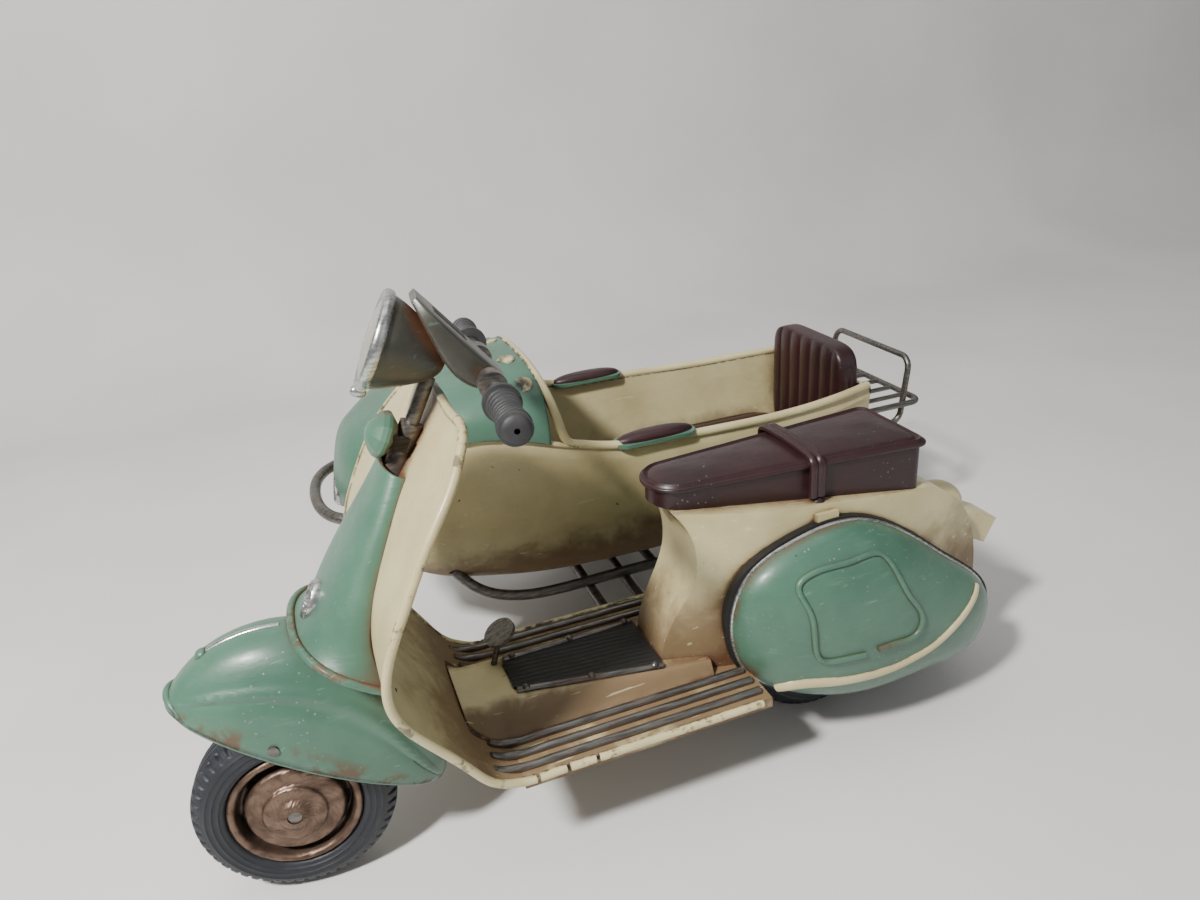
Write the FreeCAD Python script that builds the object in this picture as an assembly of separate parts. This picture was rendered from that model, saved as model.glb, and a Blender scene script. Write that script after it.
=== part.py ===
import FreeCAD, Part
import math
import os
from FreeCAD import Vector

# Tinplate motor scooter with a sidecar, millimetres, +X forward, +Y to the rider's left, +Z up.
# While it is being designed, x = 0 is the front wheel's axle, y = 0 is the scooter's middle plane
# and z = 0 is the ground.  The last step moves the whole toy so that its origin is under the
# middle of its box.

# ---------------------------------------------------------------- driving dimensions
sheet = 1.0                    # thickness of the pressed tinplate
running_gap = 0.05             # radial clearance of a turning fit
cut_overshoot = 0.02           # how far a cutting form reaches past the face it opens

# wheels
wheel_radius = 22.0
tyre_width = 12.0
narrow_tyre_width = 10.0       # rear and sidecar tyres
rim_radius = 14.4
tyre_groove = 0.7
drum_radius = 10.8
step_radius = 6.8
cap_radius = 3.4
axle_radius = 1.5
rear_axle_x = -136.0
sidecar_axle_x = -112.0
sidecar_wheel_y = -114.5

# steering
steer_rest_deg = -7.0          # the bars stand a little to the right
column_foot = Vector(-18.7, 0, 66.5)
column_lean_deg = 28.2
column_radius = 1.5
head_tube_radius = 2.4
head_tube_low = -5.0           # distances along the column from column_foot
head_tube_high = 43.0
column_top = 53.0
fork_arm_y = -8.6              # the single fork arm runs down the right side
fork_rod_radius = 1.6

# mudguard: a hood over the wheel, laid out along its straight lower edge
guard_front = Vector(19.5, 0, 53.2)
guard_rear = Vector(-32.0, 0, 20.3)
guard_height = 25.0
guard_half_width = 12.0
guard_peak_power = 0.6         # how blunt its side outline is
guard_plan_power = 0.38        # how blunt it is seen from above
guard_peak_shift = 0.8         # below one, the highest point moves forward
strip_radius = 1.1
strip_start_share = 0.05       # the crest strip's ends, as shares of the mudguard's length
strip_end_share = 0.235

# legshield: edge stations from the top down, as x, half width and z
shield_edge = [
    (-45.4, 22.0, 109.0),
    (-41.6, 28.0, 103.0),
    (-35.4, 32.2, 95.0),
    (-28.4, 34.0, 82.5),
    (-23.4, 33.6, 70.0),
    (-23.2, 32.4, 61.0),
    (-27.6, 30.6, 51.5),
    (-36.0, 28.6, 38.8),
    (-41.5, 27.4, 31.6),
    (-47.0, 26.4, 29.0),
]

# floor and tunnel
floor_top = 29.5
floor_front_x = -47.0
floor_rear_x = -107.6
floor_half_width = 26.4
rail_radius = 1.1
rail_pitch = 4.1
rail_inner_y = 15.0
rails_per_side = 3
tunnel_height = 7.1
tunnel_front_half = 8.0         # half width of its top at the front and at the rear
tunnel_rear_half = 12.0
tunnel_foot_half = 13.4
tunnel_front_x = -47.2
tunnel_fall = 3.4              # the top drops this much towards the rear
tunnel_rear_x = -99.0
mat_front_x = -51.3
mat_rear_x = -87.4
mat_front_half = 5.2
mat_rear_half = 9.2
mat_thickness = 0.6
mat_rail_radius = 0.8
rivet_radius = 1.0

# column cover, horn and badge
# cover stations: distance along the column, half width, and reach in front of the column
cover_stations = [
    (-5.8, 20.5, 9.2),
    (-3.0, 18.4, 7.6),
    (3.0, 16.2, 6.6),
    (14.0, 13.2, 5.7),
    (26.0, 9.8, 4.2),
    (33.5, 7.2, 3.7),
]
badge_radius = 4.2
badge_forward = 6.9            # distance of the badge's middle in front of the column
horn_along = 39.0              # place of the horn along the column and in front of it
horn_forward = 4.0
horn_radius = 5.0
horn_depth = 5.5
horn_strap = 1.4
horn_strap_height = 3.0

# pedal
pedal_radius = 4.0
pedal_place = Vector(-52.0, -6.0, 44.4)
pedal_stem_radius = 0.7
pedal_foot_ahead = 2.0          # the stem stands this far in front of the mat

# rear body: side outline as x and z, and a plan that narrows at both ends
body_front_outline = [(-88.0, 29.5), (-88.6, 38.0), (-92.0, 46.0), (-96.2, 54.0), (-97.0, 62.0)]
body_top_front_x = -92.0       # between these places the body's top lies against the seat box
body_top_rear_x = -160.0
body_tail_outline = [(-171.0, 59.0), (-179.0, 48.0), (-182.5, 36.0), (-183.0, 24.0)]
body_half_width = 13.0
body_nose_half = 7.4
body_tail_half = 7.0
body_low_z = 24.0

# cowls: outline as x and z, front point first, going over the top
cowl_outline = [
    (-103.2, 42.0), (-107.5, 56.0), (-120.0, 62.6), (-136.0, 64.0), (-150.0, 57.6), (-166.0, 45.0),
    (-179.5, 29.0), (-176.0, 18.6), (-160.0, 14.2), (-140.0, 13.5), (-120.0, 19.4), (-107.5, 29.0),
]
cowl_bulge = 12.0
seal_out = 1.5                 # how far the black band stands out around the cowl
seal_width = 1.8
trim_radius = 0.8
cowl_wire_bend = 1.6           # corner radius of the wires on the cowl
cowl_wire_step = 7.0           # spacing of the places where they follow its surface
trim_outline = [(-133.0, 33.5), (-121.0, 34.5), (-118.0, 51.0), (-115.0, 57.0), (-139.5, 58.5), (-149.5, 38.0),
                (-148.0, 34.5), (-136.5, 34.0)]
moulding_radius = 1.1
moulding_outline = [(-117.0, 23.5), (-121.0, 27.0), (-131.0, 25.6), (-143.0, 25.6), (-156.0, 29.4), (-166.0, 35.0)]

# seat
seat_nose_x = -89.5
seat_rear_x = -157.5
seat_top_z = 79.8
seat_nose_half = 7.0
seat_rear_half = 12.4
seat_front_depth = 6.0
seat_rear_depth = 13.6
seat_plate = 1.8
seat_lip = 0.7
strap_x = -127.8
strap_width = 4.2
strap_thickness = 0.9
strap_sink = 0.2                 # depth of the strap's groove across the seat plate
stud_radius = 1.9

# tail: dome and a lamp box that points down and back
lamp_box_front = Vector(-180.0, 0, 46.8)
lamp_box_drop_deg = 27.0
lamp_box_length = 11.5
lamp_box_half = 4.8
lamp_box_thickness = 7.6
lamp_lens_thickness = 1.6
tail_dome_middle = Vector(-174.0, 0, 53.0)
tail_dome_half = Vector(8.0, 5.0, 5.6)

# sidecar
car_middle_y = -75.0
car_half_width = 30.0
car_wall = 1.4
car_open_lift = 0.8              # how far the space inside the sidecar reaches past the open crease line
# stations of the sidecar from the nose back: x, share of the half width, keel z, crease z, crown z
car_stations = [
    (-24.0, 0.18, 52.0, 57.0, 64.0),
    (-26.0, 0.36, 45.0, 58.5, 71.5),
    (-31.0, 0.56, 39.0, 63.0, 79.0),
    (-42.0, 0.78, 33.0, 72.0, 85.5),
    (-57.0, 0.92, 28.6, 77.5, 89.5),
    (-80.0, 1.00, 25.4, 73.2, 91.8),
    (-95.0, 1.00, 24.6, 68.6, 90.0),
    (-125.0, 1.00, 24.4, 66.0, 88.0),
    (-155.0, 0.96, 26.5, 65.2, 88.0),
    (-180.0, 0.86, 32.5, 66.0, 88.0),
    (-190.0, 0.78, 36.5, 66.5, 88.0),
]
car_section_step = 4.0         # spacing of the sections that the hull and deck are built from
cockpit_front_x = -80.0
car_rear_x = -190.0
coaming_radius = 1.3
cushion_top_z = 47.0
cushion_front_x = -118.0
cushion_half = 21.0
cushion_round = 2.5
seat_back_low_z = 42.0
seat_back_top_z = 79.0
seat_back_round = 4.0
seat_back_half = 21.0
seat_back_thickness = 9.0
arm_pad_x = -111.5
arm_pad_length = 24.0
arm_pad_width = 6.0
arm_pad_thickness = 2.2
arm_base_thickness = 1.0
arm_base_z = 67.6
deck_button_radius = 2.6
nose_lamp_radius = 6.2
bumper_rod_radius = 1.6
bumper_front_x = -16.6
bumper_half_width = 21.0
bumper_z = 59.0
frame_rod_radius = 1.6
frame_rail_z = 22.4
cross_rod_places = (-90.0, -102.0)
cross_rod_sink = 0.3           # how deep the cross rods are let into the rails above them
rack_rod_radius = 1.0
rack_rear_x = -211.5
rack_z = 57.0
rack_half_width = 22.5
hoop_top_z = 72.0
hoop_root_z = 50.0
slat_count = 5

# handlebar
bar_radius = 1.7
bar_half_width = 41.0
grip_length = 17.0
grip_radius = 2.9
bar_along = 58.2               # distance of the bar along the column from column_foot
bar_forward = -10.0            # the bar lies behind the column
lamp_rim_radius = 10.4
lamp_depth = 12.0
lamp_back_radius = 4.6
lamp_seat = 3.0                # how far the lamp shell nests into the nacelle
lamp_centre = Vector(-35.6, 0, 121.6)
lens_bulge = 2.2


# ---------------------------------------------------------------- construction helpers
def once(make):
    """Keep a piece the first time it is made, since its neighbours are cut to fit it."""
    kept = []

    def keep():
        if not kept:
            kept.append(make())
        return kept[0]
    return keep


def cylinder(start, direction, radius, length):
    """Solid rod of the given length."""
    return Part.makeCylinder(radius, length, start, direction)


def box(x0, x1, y0, y1, z0, z1):
    """Block between two corners."""
    low = Vector(min(x0, x1), min(y0, y1), min(z0, z1))
    return Part.makeBox(abs(x1 - x0), abs(y1 - y0), abs(z1 - z0), low)


def mirrored(shape):
    """The same piece on the other side of the scooter."""
    return shape.mirror(Vector(0, 0, 0), Vector(0, 1, 0))


def both_sides(shape):
    """A left piece and its mirror image, as two solids of one node."""
    return Part.makeCompound([shape, mirrored(shape)])


def polygon(points):
    """Closed wire of straight edges."""
    return Part.makePolygon(list(points) + [points[0]])


def loft(wires, ruled=False):
    """Solid through closed sections."""
    return Part.makeLoft(wires, True, ruled)


def revolved(profile, centre, axis):
    """Solid of revolution of (radius, along) points about an axis through centre."""
    axis = Vector(axis).normalize()
    side = axis.cross(Vector(0, 0, 1))
    if side.Length < 0.1:
        side = Vector(1, 0, 0)
    side.normalize()
    points = [centre + side * radius + axis * along for radius, along in profile]
    face = Part.Face(polygon(points))
    return face.revolve(centre, axis, 360)


def bent_path(points, bend):
    """Wire through corner points, with arcs of radius bend at its corners."""
    edges = []
    start = points[0]
    for before, corner, after in zip(points, points[1:], points[2:]):
        into = (corner - before).normalize()
        out = (after - corner).normalize()
        turn = into.getAngle(out)
        if turn < 0.02:
            continue
        cut = bend * math.tan(turn / 2)
        first = corner - into * cut
        last = corner + out * cut
        inward = (out - into).normalize()
        reach = bend / math.cos(turn / 2) - bend
        edges.append(Part.LineSegment(start, first).toShape())
        edges.append(Part.Arc(first, corner + inward * reach, last).toShape())
        start = last
    edges.append(Part.LineSegment(start, points[-1]).toShape())
    return Part.Wire(edges)


def bent_rod(points, radius, bend):
    """Round rod through corner points, with arcs of radius bend at its corners."""
    along = (points[1] - points[0]).normalize()
    circle = Part.Wire(Part.Circle(points[0], along, radius).toShape())
    return bent_path(points, bend).makePipeShell([circle], True, False)


def smooth_rod(points, radius):
    """Round rod along one smooth curve through points."""
    curve = Part.BSplineCurve()
    curve.interpolate(points)
    circle = Part.Wire(Part.Circle(points[0], curve.tangent(curve.FirstParameter)[0], radius).toShape())
    return Part.Wire(curve.toShape()).makePipeShell([circle], True, False)


def jointed_rod(points, radius):
    """Round rod of short straight lengths with a ball at every joint."""
    pieces = [Part.makeSphere(radius, point) for point in points[1:-1]]
    for start, end in zip(points, points[1:]):
        pieces.append(cylinder(start, end - start, radius, (end - start).Length))
    return pieces[0].fuse(pieces[1:]).removeSplitter()


def arch_wire(origin, across, up, half_width, height, power=0.75):
    """Closed section: a rounded arch standing on a straight base line."""
    points = []
    steps = 8
    for step in range(steps + 1):
        angle = math.pi * step / steps
        side = math.cos(angle)
        rise = math.sin(angle)
        sway = math.copysign(abs(side) ** power, side)
        points.append(origin + across * (half_width * sway) + up * (height * rise ** power))
    curve = Part.BSplineCurve()
    curve.interpolate(points)
    base = Part.LineSegment(points[-1], points[0])
    return Part.Wire([curve.toShape(), base.toShape()])


# ---------------------------------------------------------------- steering axis
column_lean = math.radians(column_lean_deg)
column_up = Vector(-math.sin(column_lean), 0, math.cos(column_lean))
column_forward = Vector(math.cos(column_lean), 0, math.sin(column_lean))
left = Vector(0, 1, 0)


def on_column(along, forward=0.0, side=0.0):
    """Point measured along the column, then forward of it and to its left."""
    return column_foot + column_up * along + column_forward * forward + left * side


def steered(shape):
    """A steering piece turned from straight ahead to its place at rest."""
    turned = shape.copy()
    turned.rotate(column_foot, column_up, steer_rest_deg)
    return turned


# ---------------------------------------------------------------- wheels
def tyre(centre, width):
    """Rubber ring with rounded shoulders and three grooves in its tread."""
    half = width / 2
    shoulder = 3.0
    profile = [
        (rim_radius, -half + 1.2),
        (rim_radius + 1.5, -half),
        (wheel_radius - shoulder, -half),
        (wheel_radius - 1.0, -half + 1.3),
        (wheel_radius, -half + shoulder),
    ]
    for place in (-1, 0, 1):
        middle = place * (half - shoulder - 0.4) * 0.8
        profile.append((wheel_radius, middle - 0.4))
        profile.append((wheel_radius - tyre_groove, middle - 0.25))
        profile.append((wheel_radius - tyre_groove, middle + 0.25))
        profile.append((wheel_radius, middle + 0.4))
    profile += [
        (wheel_radius, half - shoulder),
        (wheel_radius - 1.0, half - 1.3),
        (wheel_radius - shoulder, half),
        (rim_radius + 1.5, half),
        (rim_radius, half - 1.2),
    ]
    return revolved(profile, centre, left)


def wheel_disc(centre, width):
    """Stepped metal disc: rim, deep channel, drum, step and hub cap, bored for the axle."""
    half = width / 2
    bore = axle_radius + running_gap
    outer = [
        (rim_radius, half - 1.2),
        (rim_radius - 1.3, half - 0.2),
        (rim_radius - 2.2, half - 0.9),
        (drum_radius + 0.6, half - 3.2),
        (drum_radius, half - 3.0),
        (drum_radius - 0.8, half - 0.6),
        (step_radius + 0.4, half - 0.2),
        (step_radius, half + 0.9),
        (cap_radius + 0.9, half + 1.2),
        (cap_radius, half + 2.2),
        (bore, half + 2.2),
    ]
    inner = [
        (bore, -half + 0.6),
        (drum_radius, -half + 0.6),
        (drum_radius + 1.0, -half + 3.0),
        (rim_radius - 2.2, -half + 3.0),
        (rim_radius - 1.3, -half + 0.2),
        (rim_radius, -half + 1.2),
    ]
    return revolved(outer + inner, centre, left)


# ---------------------------------------------------------------- fork and front end
@once
def fork():
    """Steering rod bent out to the right of the wheel, then in again as the front axle."""
    shoulder = on_column(head_tube_low - 6.0)
    arm_top = on_column(head_tube_low - 11.0, 0, fork_arm_y)
    axle_out = Vector(0, fork_arm_y, wheel_radius)
    column = cylinder(shoulder, column_up, column_radius, column_top - head_tube_low + 6.0)
    arm = bent_rod([shoulder, arm_top, axle_out], fork_rod_radius, 3.0)
    elbow = Part.makeSphere(fork_rod_radius, axle_out)
    axle = cylinder(axle_out, left, axle_radius, -fork_arm_y + tyre_width / 2 + 2.0)
    knee = Part.makeSphere(fork_rod_radius, shoulder)
    return column.fuse([arm, elbow, axle, knee]).removeSplitter()


guard_along = (guard_rear - guard_front)
guard_length = guard_along.Length
guard_along.normalize()
guard_up = Vector(guard_along.z, 0, -guard_along.x)


def guard_swell(share):
    """Rise of the mudguard's side outline at a share of its length, from 0 to 1."""
    return math.sin(math.pi * share ** guard_peak_shift)


def guard_shell(inset):
    """Hood through arch sections set along the mudguard's lower edge."""
    sections = []
    count = 13
    for index in range(count):
        share = (index + 0.3) / (count - 0.4)
        origin = guard_front + guard_along * (guard_length * share) - guard_up * (inset * 0.6)
        half = guard_half_width * math.sin(math.pi * share) ** guard_plan_power - inset
        height = guard_height * guard_swell(share) ** guard_peak_power - inset * 0.4
        sections.append(arch_wire(origin, left, guard_up, half, height))
    return loft(sections)


def mudguard():
    """Pressed hood over the front wheel, open below."""
    hood = guard_shell(0.0).cut(guard_shell(sheet))
    return hood.cut(fork()).cut(mudguard_bolts())


def guard_crest(share, lift):
    """Point on the mudguard's crest, raised by lift."""
    height = guard_height * guard_swell(share) ** guard_peak_power + lift
    return guard_front + guard_along * (guard_length * share) + guard_up * height


def mudguard_strip():
    """Round strip along the crest's front half, with a bead on its front end."""
    steps = 6
    span = strip_end_share - strip_start_share
    points = [guard_crest(strip_start_share + span * step / steps, strip_radius * 0.55) for step in range(steps + 1)]
    strip = smooth_rod(points, strip_radius)
    bead = Part.makeSphere(strip_radius * 1.35, points[0])
    return strip.fuse(bead).cut(guard_shell(0.0))


@once
def mudguard_bolts():
    """Bolt through each lower edge of the mudguard."""
    middle = guard_front + guard_along * (guard_length * 0.36) + guard_up * 2.6
    reach = guard_half_width - 1.4
    bolt = cylinder(middle + left * reach, left, 1.1, 2.4)
    return both_sides(bolt)


# ---------------------------------------------------------------- handlebar and headlamp
lamp_forward = Vector(math.cos(math.radians(27.0)), 0, math.sin(math.radians(27.0)))


def bucket_form(wall):
    """Cone of the lamp shell, drawn in by a wall."""
    profile = [
        (0.0, -lamp_depth + wall),
        (lamp_back_radius - wall * 0.6, -lamp_depth + 0.6 + wall),
        (lamp_rim_radius - 1.2 - wall, -1.4),
        (lamp_rim_radius - 0.8 - wall, 0.0),
        (0.0, 0.0),
    ]
    return revolved(profile, lamp_centre, lamp_forward)


def headlamp_bucket():
    """Conical lamp shell, hollow, closed by its lens."""
    return bucket_form(0.0).cut(bucket_form(sheet)).cut(neck_rod())


@once
def headlamp_rim():
    """Rolled ring round the lamp's mouth, with a small lug below."""
    ring = Part.makeTorus(lamp_rim_radius - 0.9, 0.9, lamp_centre + lamp_forward * 0.9, lamp_forward)
    below = left.cross(lamp_forward)
    lug = Part.makeSphere(1.1, lamp_centre + lamp_forward * 0.9 + below * (lamp_rim_radius + 0.2))
    return ring.fuse(lug)


def headlamp_lens():
    """Bulged glass seated in the rim."""
    radius = lamp_rim_radius - 1.4
    profile = [
        (0.0, 0.0),
        (radius, 0.0),
        (radius, 1.0),
        (radius * 0.75, 1.0 + lens_bulge * 0.5),
        (radius * 0.4, 0.8 + lens_bulge * 0.9),
        (0.0, 0.8 + lens_bulge),
    ]
    return revolved(profile, lamp_centre, lamp_forward).cut(headlamp_rim())


def nacelle():
    """Wedge between lamp and bars, with its sloping top towards the rider."""
    side = [
        Vector(-42.0, 0, 129.8),
        Vector(-45.4, 0, 129.8),
        Vector(-58.2, 0, 113.4),
        Vector(-57.0, 0, 112.0),
        Vector(-52.0, 0, 111.6),
        Vector(-42.4, 0, 112.0),
        Vector(-42.0, 0, 117.0),
    ]
    half_front = 8.6
    wedge = Part.Face(polygon([p - left * half_front for p in side])).extrude(left * (2 * half_front))
    lamp_space = cylinder(lamp_centre - lamp_forward * (lamp_depth - lamp_seat), lamp_forward, lamp_rim_radius, 30.0)
    lamp_space = lamp_space.fuse(bucket_form(0.0))
    taper = loft([
        polygon([Vector(-38, -9, 105), Vector(-38, 9, 105), Vector(-60, 5.0, 105), Vector(-60, -5.0, 105)]),
        polygon([Vector(-38, -9, 132), Vector(-38, 9, 132), Vector(-60, 5.0, 132), Vector(-60, -5.0, 132)]),
    ], True)
    return wedge.common(taper).cut(lamp_space).cut(bar_solid()).cut(neck_rod())


def neck_rod():
    """Top of the steering rod where it enters the nacelle."""
    return cylinder(on_column(column_top - 12.0), column_up, column_radius, 12.0)


def bar_solid():
    """Straight tube across the bars."""
    start = on_column(bar_along, bar_forward, -bar_half_width + 2.0)
    return cylinder(start, left, bar_radius, 2 * bar_half_width - 4.0)


def handlebar():
    """Tube with a collar each side of the nacelle."""
    collar = cylinder(on_column(bar_along, bar_forward, 9.4), left, bar_radius + 1.1, 4.0)
    return bar_solid().fuse([collar, mirrored(collar)])


def grips():
    """Two rubber grips, each with a flange and a rounded end."""
    start = on_column(bar_along, bar_forward, bar_half_width - grip_length)
    profile = [
        (bar_radius, 0.0),
        (grip_radius + 0.7, 0.0),
        (grip_radius + 0.7, 1.2),
        (grip_radius, 1.6),
        (grip_radius, grip_length - 1.0),
        (grip_radius - 1.0, grip_length),
        (0.0, grip_length),
        (0.0, grip_length - 2.0),
        (bar_radius, grip_length - 2.0),
    ]
    return both_sides(revolved(profile, start, left))


# ---------------------------------------------------------------- legshield and floor
shield_curve = Part.BSplineCurve()
shield_curve.interpolate([Vector(x, half, z) for x, half, z in shield_edge])


@once
def legshield():
    """Pressed sheet that curves from the column down and back into the floor."""
    sections = []
    count = 19
    first = shield_curve.FirstParameter
    span = shield_curve.LastParameter - first
    for index in range(count):
        place = first + span * index / (count - 1)
        edge = shield_curve.value(place)
        tangent = shield_curve.tangent(place)[0]
        normal = Vector(tangent.z, 0, -tangent.x).normalize() * (sheet / 2)
        if index == count - 1:
            normal = Vector(0, 0, -sheet / 2)
        flat = Vector(edge.x, 0, edge.z)
        half = left * edge.y
        sections.append(polygon([flat - half - normal, flat + half - normal,
                                 flat + half + normal, flat - half + normal]))
    return loft(sections).cut(head_tube_rod())


@once
def floorboard():
    """Flat floor with a turned-down rim on both sides and the rear corners rounded."""
    plate = box(floor_rear_x, floor_front_x, -floor_half_width, floor_half_width, floor_top - sheet, floor_top)
    rim = box(floor_rear_x, floor_front_x, floor_half_width - sheet, floor_half_width,
              floor_top - 2.6, floor_top - sheet)
    return plate.fuse([rim, mirrored(rim)]).removeSplitter()


@once
def floor_rails():
    """Half-round rub rails along the floor."""
    rails = []
    for index in range(rails_per_side):
        y = rail_inner_y + rail_pitch * index
        start = Vector(floor_rear_x + 1.5, y, floor_top)
        rail = cylinder(start, Vector(1, 0, 0), rail_radius, floor_front_x - floor_rear_x - 2.5)
        upper = box(floor_rear_x, floor_front_x, y - 2, y + 2, floor_top, floor_top + 3)
        rails.append(rail.common(upper))
        rails.append(mirrored(rails[-1]))
    return Part.makeCompound(rails)


@once
def tunnel_block():
    """Outer form of the raised centre of the floor, a trapezium in section."""
    def section(x, height, top_half):
        return polygon([
            Vector(x, -tunnel_foot_half, floor_top),
            Vector(x, tunnel_foot_half, floor_top),
            Vector(x, top_half, floor_top + height),
            Vector(x, -top_half, floor_top + height),
        ])
    front = section(tunnel_front_x, tunnel_height, tunnel_front_half)
    return loft([front, section(tunnel_rear_x, tunnel_height - tunnel_fall, tunnel_rear_half)], True)


def tunnel():
    """Pressed tunnel, open below."""
    return pressed(tunnel_block(), sheet)


def tunnel_top(x):
    """Height of the tunnel's top face at x."""
    share = (x - tunnel_front_x) / (tunnel_rear_x - tunnel_front_x)
    return floor_top + tunnel_height - tunnel_fall * share


@once
def tunnel_mat():
    """Ribbed mat on the tunnel, wider at the rear."""
    corners = [(mat_front_x, mat_front_half), (mat_rear_x, mat_rear_half)]
    outline = [Vector(x, half, tunnel_top(x)) for x, half in corners]
    outline += [Vector(x, -half, tunnel_top(x)) for x, half in reversed(corners)]
    return Part.Face(polygon(outline)).extrude(Vector(0, 0, mat_thickness))


def mat_edge(x, out):
    """Point on the tunnel's top just outside the mat."""
    share = (x - mat_front_x) / (mat_rear_x - mat_front_x)
    half = mat_front_half + (mat_rear_half - mat_front_half) * share
    return Vector(x, half + out, tunnel_top(x))


def mat_rail_line():
    """Ends of the left mat rail."""
    out = mat_rail_radius + 0.15
    lift = Vector(0, 0, mat_rail_radius * 0.5)
    return mat_edge(mat_front_x - 0.5, out) + lift, mat_edge(mat_rear_x + 0.3, out) + lift


@once
def mat_rails():
    """Two flat-bottomed rods that hold the mat's edges."""
    start, end = mat_rail_line()
    rod = cylinder(start, end - start, mat_rail_radius, (end - start).Length)
    return both_sides(rod.cut(tunnel_block()).cut(tunnel_mat()))


def mat_rivets():
    """Rivet heads on the mat rails."""
    start, end = mat_rail_line()
    heads = []
    for share in (0.06, 0.5, 0.94):
        place = start + (end - start) * share + Vector(0, 0, mat_rail_radius * 0.5)
        head = Part.makeSphere(rivet_radius, place)
        upper = box(place.x - 5, place.x + 5, place.y - 5, place.y + 5, place.z, place.z + 5)
        heads.append(head.common(upper))
    left_heads = Part.makeCompound(heads).cut(mat_rails()).cut(tunnel_block()).cut(tunnel_mat())
    return both_sides(left_heads)


# ---------------------------------------------------------------- column cover and its fittings
def shield_forward(along):
    """How far the shield's sheet is forward of the column, level with a distance along it."""
    low = shield_curve.FirstParameter
    high = shield_curve.LastParameter
    for _ in range(40):
        middle = (low + high) / 2
        reach = shield_curve.value(middle) - column_foot
        if reach.dot(column_up) > along:
            low = middle
        else:
            high = middle
    reach = shield_curve.value(low) - column_foot
    return reach.dot(column_forward)


def cover_loft(inset):
    """Tapering half cone up the front of the legshield."""
    sections = []
    for along, half, front in cover_stations:
        back = shield_forward(along) + sheet * 0.7 - inset * 0.3
        origin = on_column(along, back)
        sections.append(arch_wire(origin, left, column_forward, half - inset, front - back - inset, 0.8))
    return loft(sections)


@once
def head_tube_rod():
    """Head tube before boring."""
    return cylinder(on_column(head_tube_low), column_up, head_tube_radius, head_tube_high - head_tube_low)


def head_tube():
    """Bearing tube that carries the steering rod."""
    bore = cylinder(on_column(head_tube_low), column_up, column_radius + running_gap, head_tube_high - head_tube_low)
    return head_tube_rod().cut(bore)


def column_cover():
    """Green cover with a flared rolled lip over the mudguard."""
    shell = cover_loft(0.0).cut(cover_loft(sheet))
    return shell.cut(head_tube_rod())


def badge():
    """Plain oval plate on the foot of the column cover."""
    centre = on_column(0.0, badge_forward)
    plate = Part.makeSphere(badge_radius, Vector(0, 0, 0))
    matrix = FreeCAD.Matrix()
    matrix.scale(0.42, 0.85, 1.1)
    plate = plate.transformGeometry(matrix)
    plate.rotate(Vector(0, 0, 0), Vector(0, 1, 0), -column_lean_deg)
    plate.translate(centre)
    return plate.cut(cover_loft(0.0))


@once
def horn():
    """Domed horn below the bars."""
    centre = on_column(horn_along, horn_forward)
    profile = [
        (0.0, -1.5),
        (horn_radius * 0.62, -1.5),
        (horn_radius, 0.6),
        (horn_radius * 0.9, 1.8),
        (horn_radius * 0.5, horn_depth - 1.6),
        (0.0, horn_depth - 1.3),
    ]
    return revolved(profile, centre, column_forward).cut(cover_loft(0.0))


def horn_bracket():
    """Half collar that holds the horn to the head tube."""
    width = 2 * (head_tube_radius + horn_strap)
    arm = Part.makeBox(horn_forward, width, horn_strap_height, Vector(0, -width / 2, -horn_strap_height / 2))
    arm.rotate(Vector(0, 0, 0), Vector(0, 1, 0), -column_lean_deg)
    arm.translate(on_column(horn_along))
    return arm.cut(head_tube_rod()).cut(horn()).cut(legshield())


def brake_pedal():
    """Disc pedal on a thin stem that rises from the floor."""
    disc = cylinder(pedal_place, Vector(0.45, 0.1, 0.88), pedal_radius, 1.0)
    foot_x = mat_front_x + pedal_foot_ahead
    foot = Vector(foot_x, pedal_place.y, tunnel_top(foot_x))
    stem = cylinder(foot, pedal_place - foot, pedal_stem_radius, (pedal_place - foot).Length + 0.3)
    return disc.fuse(stem).cut(tunnel_block())


# ---------------------------------------------------------------- rear body, seat and tail
def spline(points):
    """Smooth edge through points."""
    curve = Part.BSplineCurve()
    curve.interpolate(points)
    return curve.toShape()


def closed_spline(points):
    """Smooth closed wire through points."""
    curve = Part.BSplineCurve()
    curve.interpolate(Points=points, PeriodicFlag=True)
    return Part.Wire(curve.toShape())


def pressed(shape, wall):
    """A solid hollowed from below, leaving a wall at its sides and its top."""
    bounds = shape.optimalBoundingBox(False, False)
    base = Vector(bounds.Center.x, bounds.Center.y, bounds.ZMin)
    matrix = FreeCAD.Matrix()
    matrix.move(-base)
    matrix.scale(1 - 2 * wall / bounds.XLength, 1 - 2 * wall / bounds.YLength, 1 - wall / bounds.ZLength)
    matrix.move(base - Vector(0, 0, cut_overshoot))
    return shape.cut(shape.transformGeometry(matrix))


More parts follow.
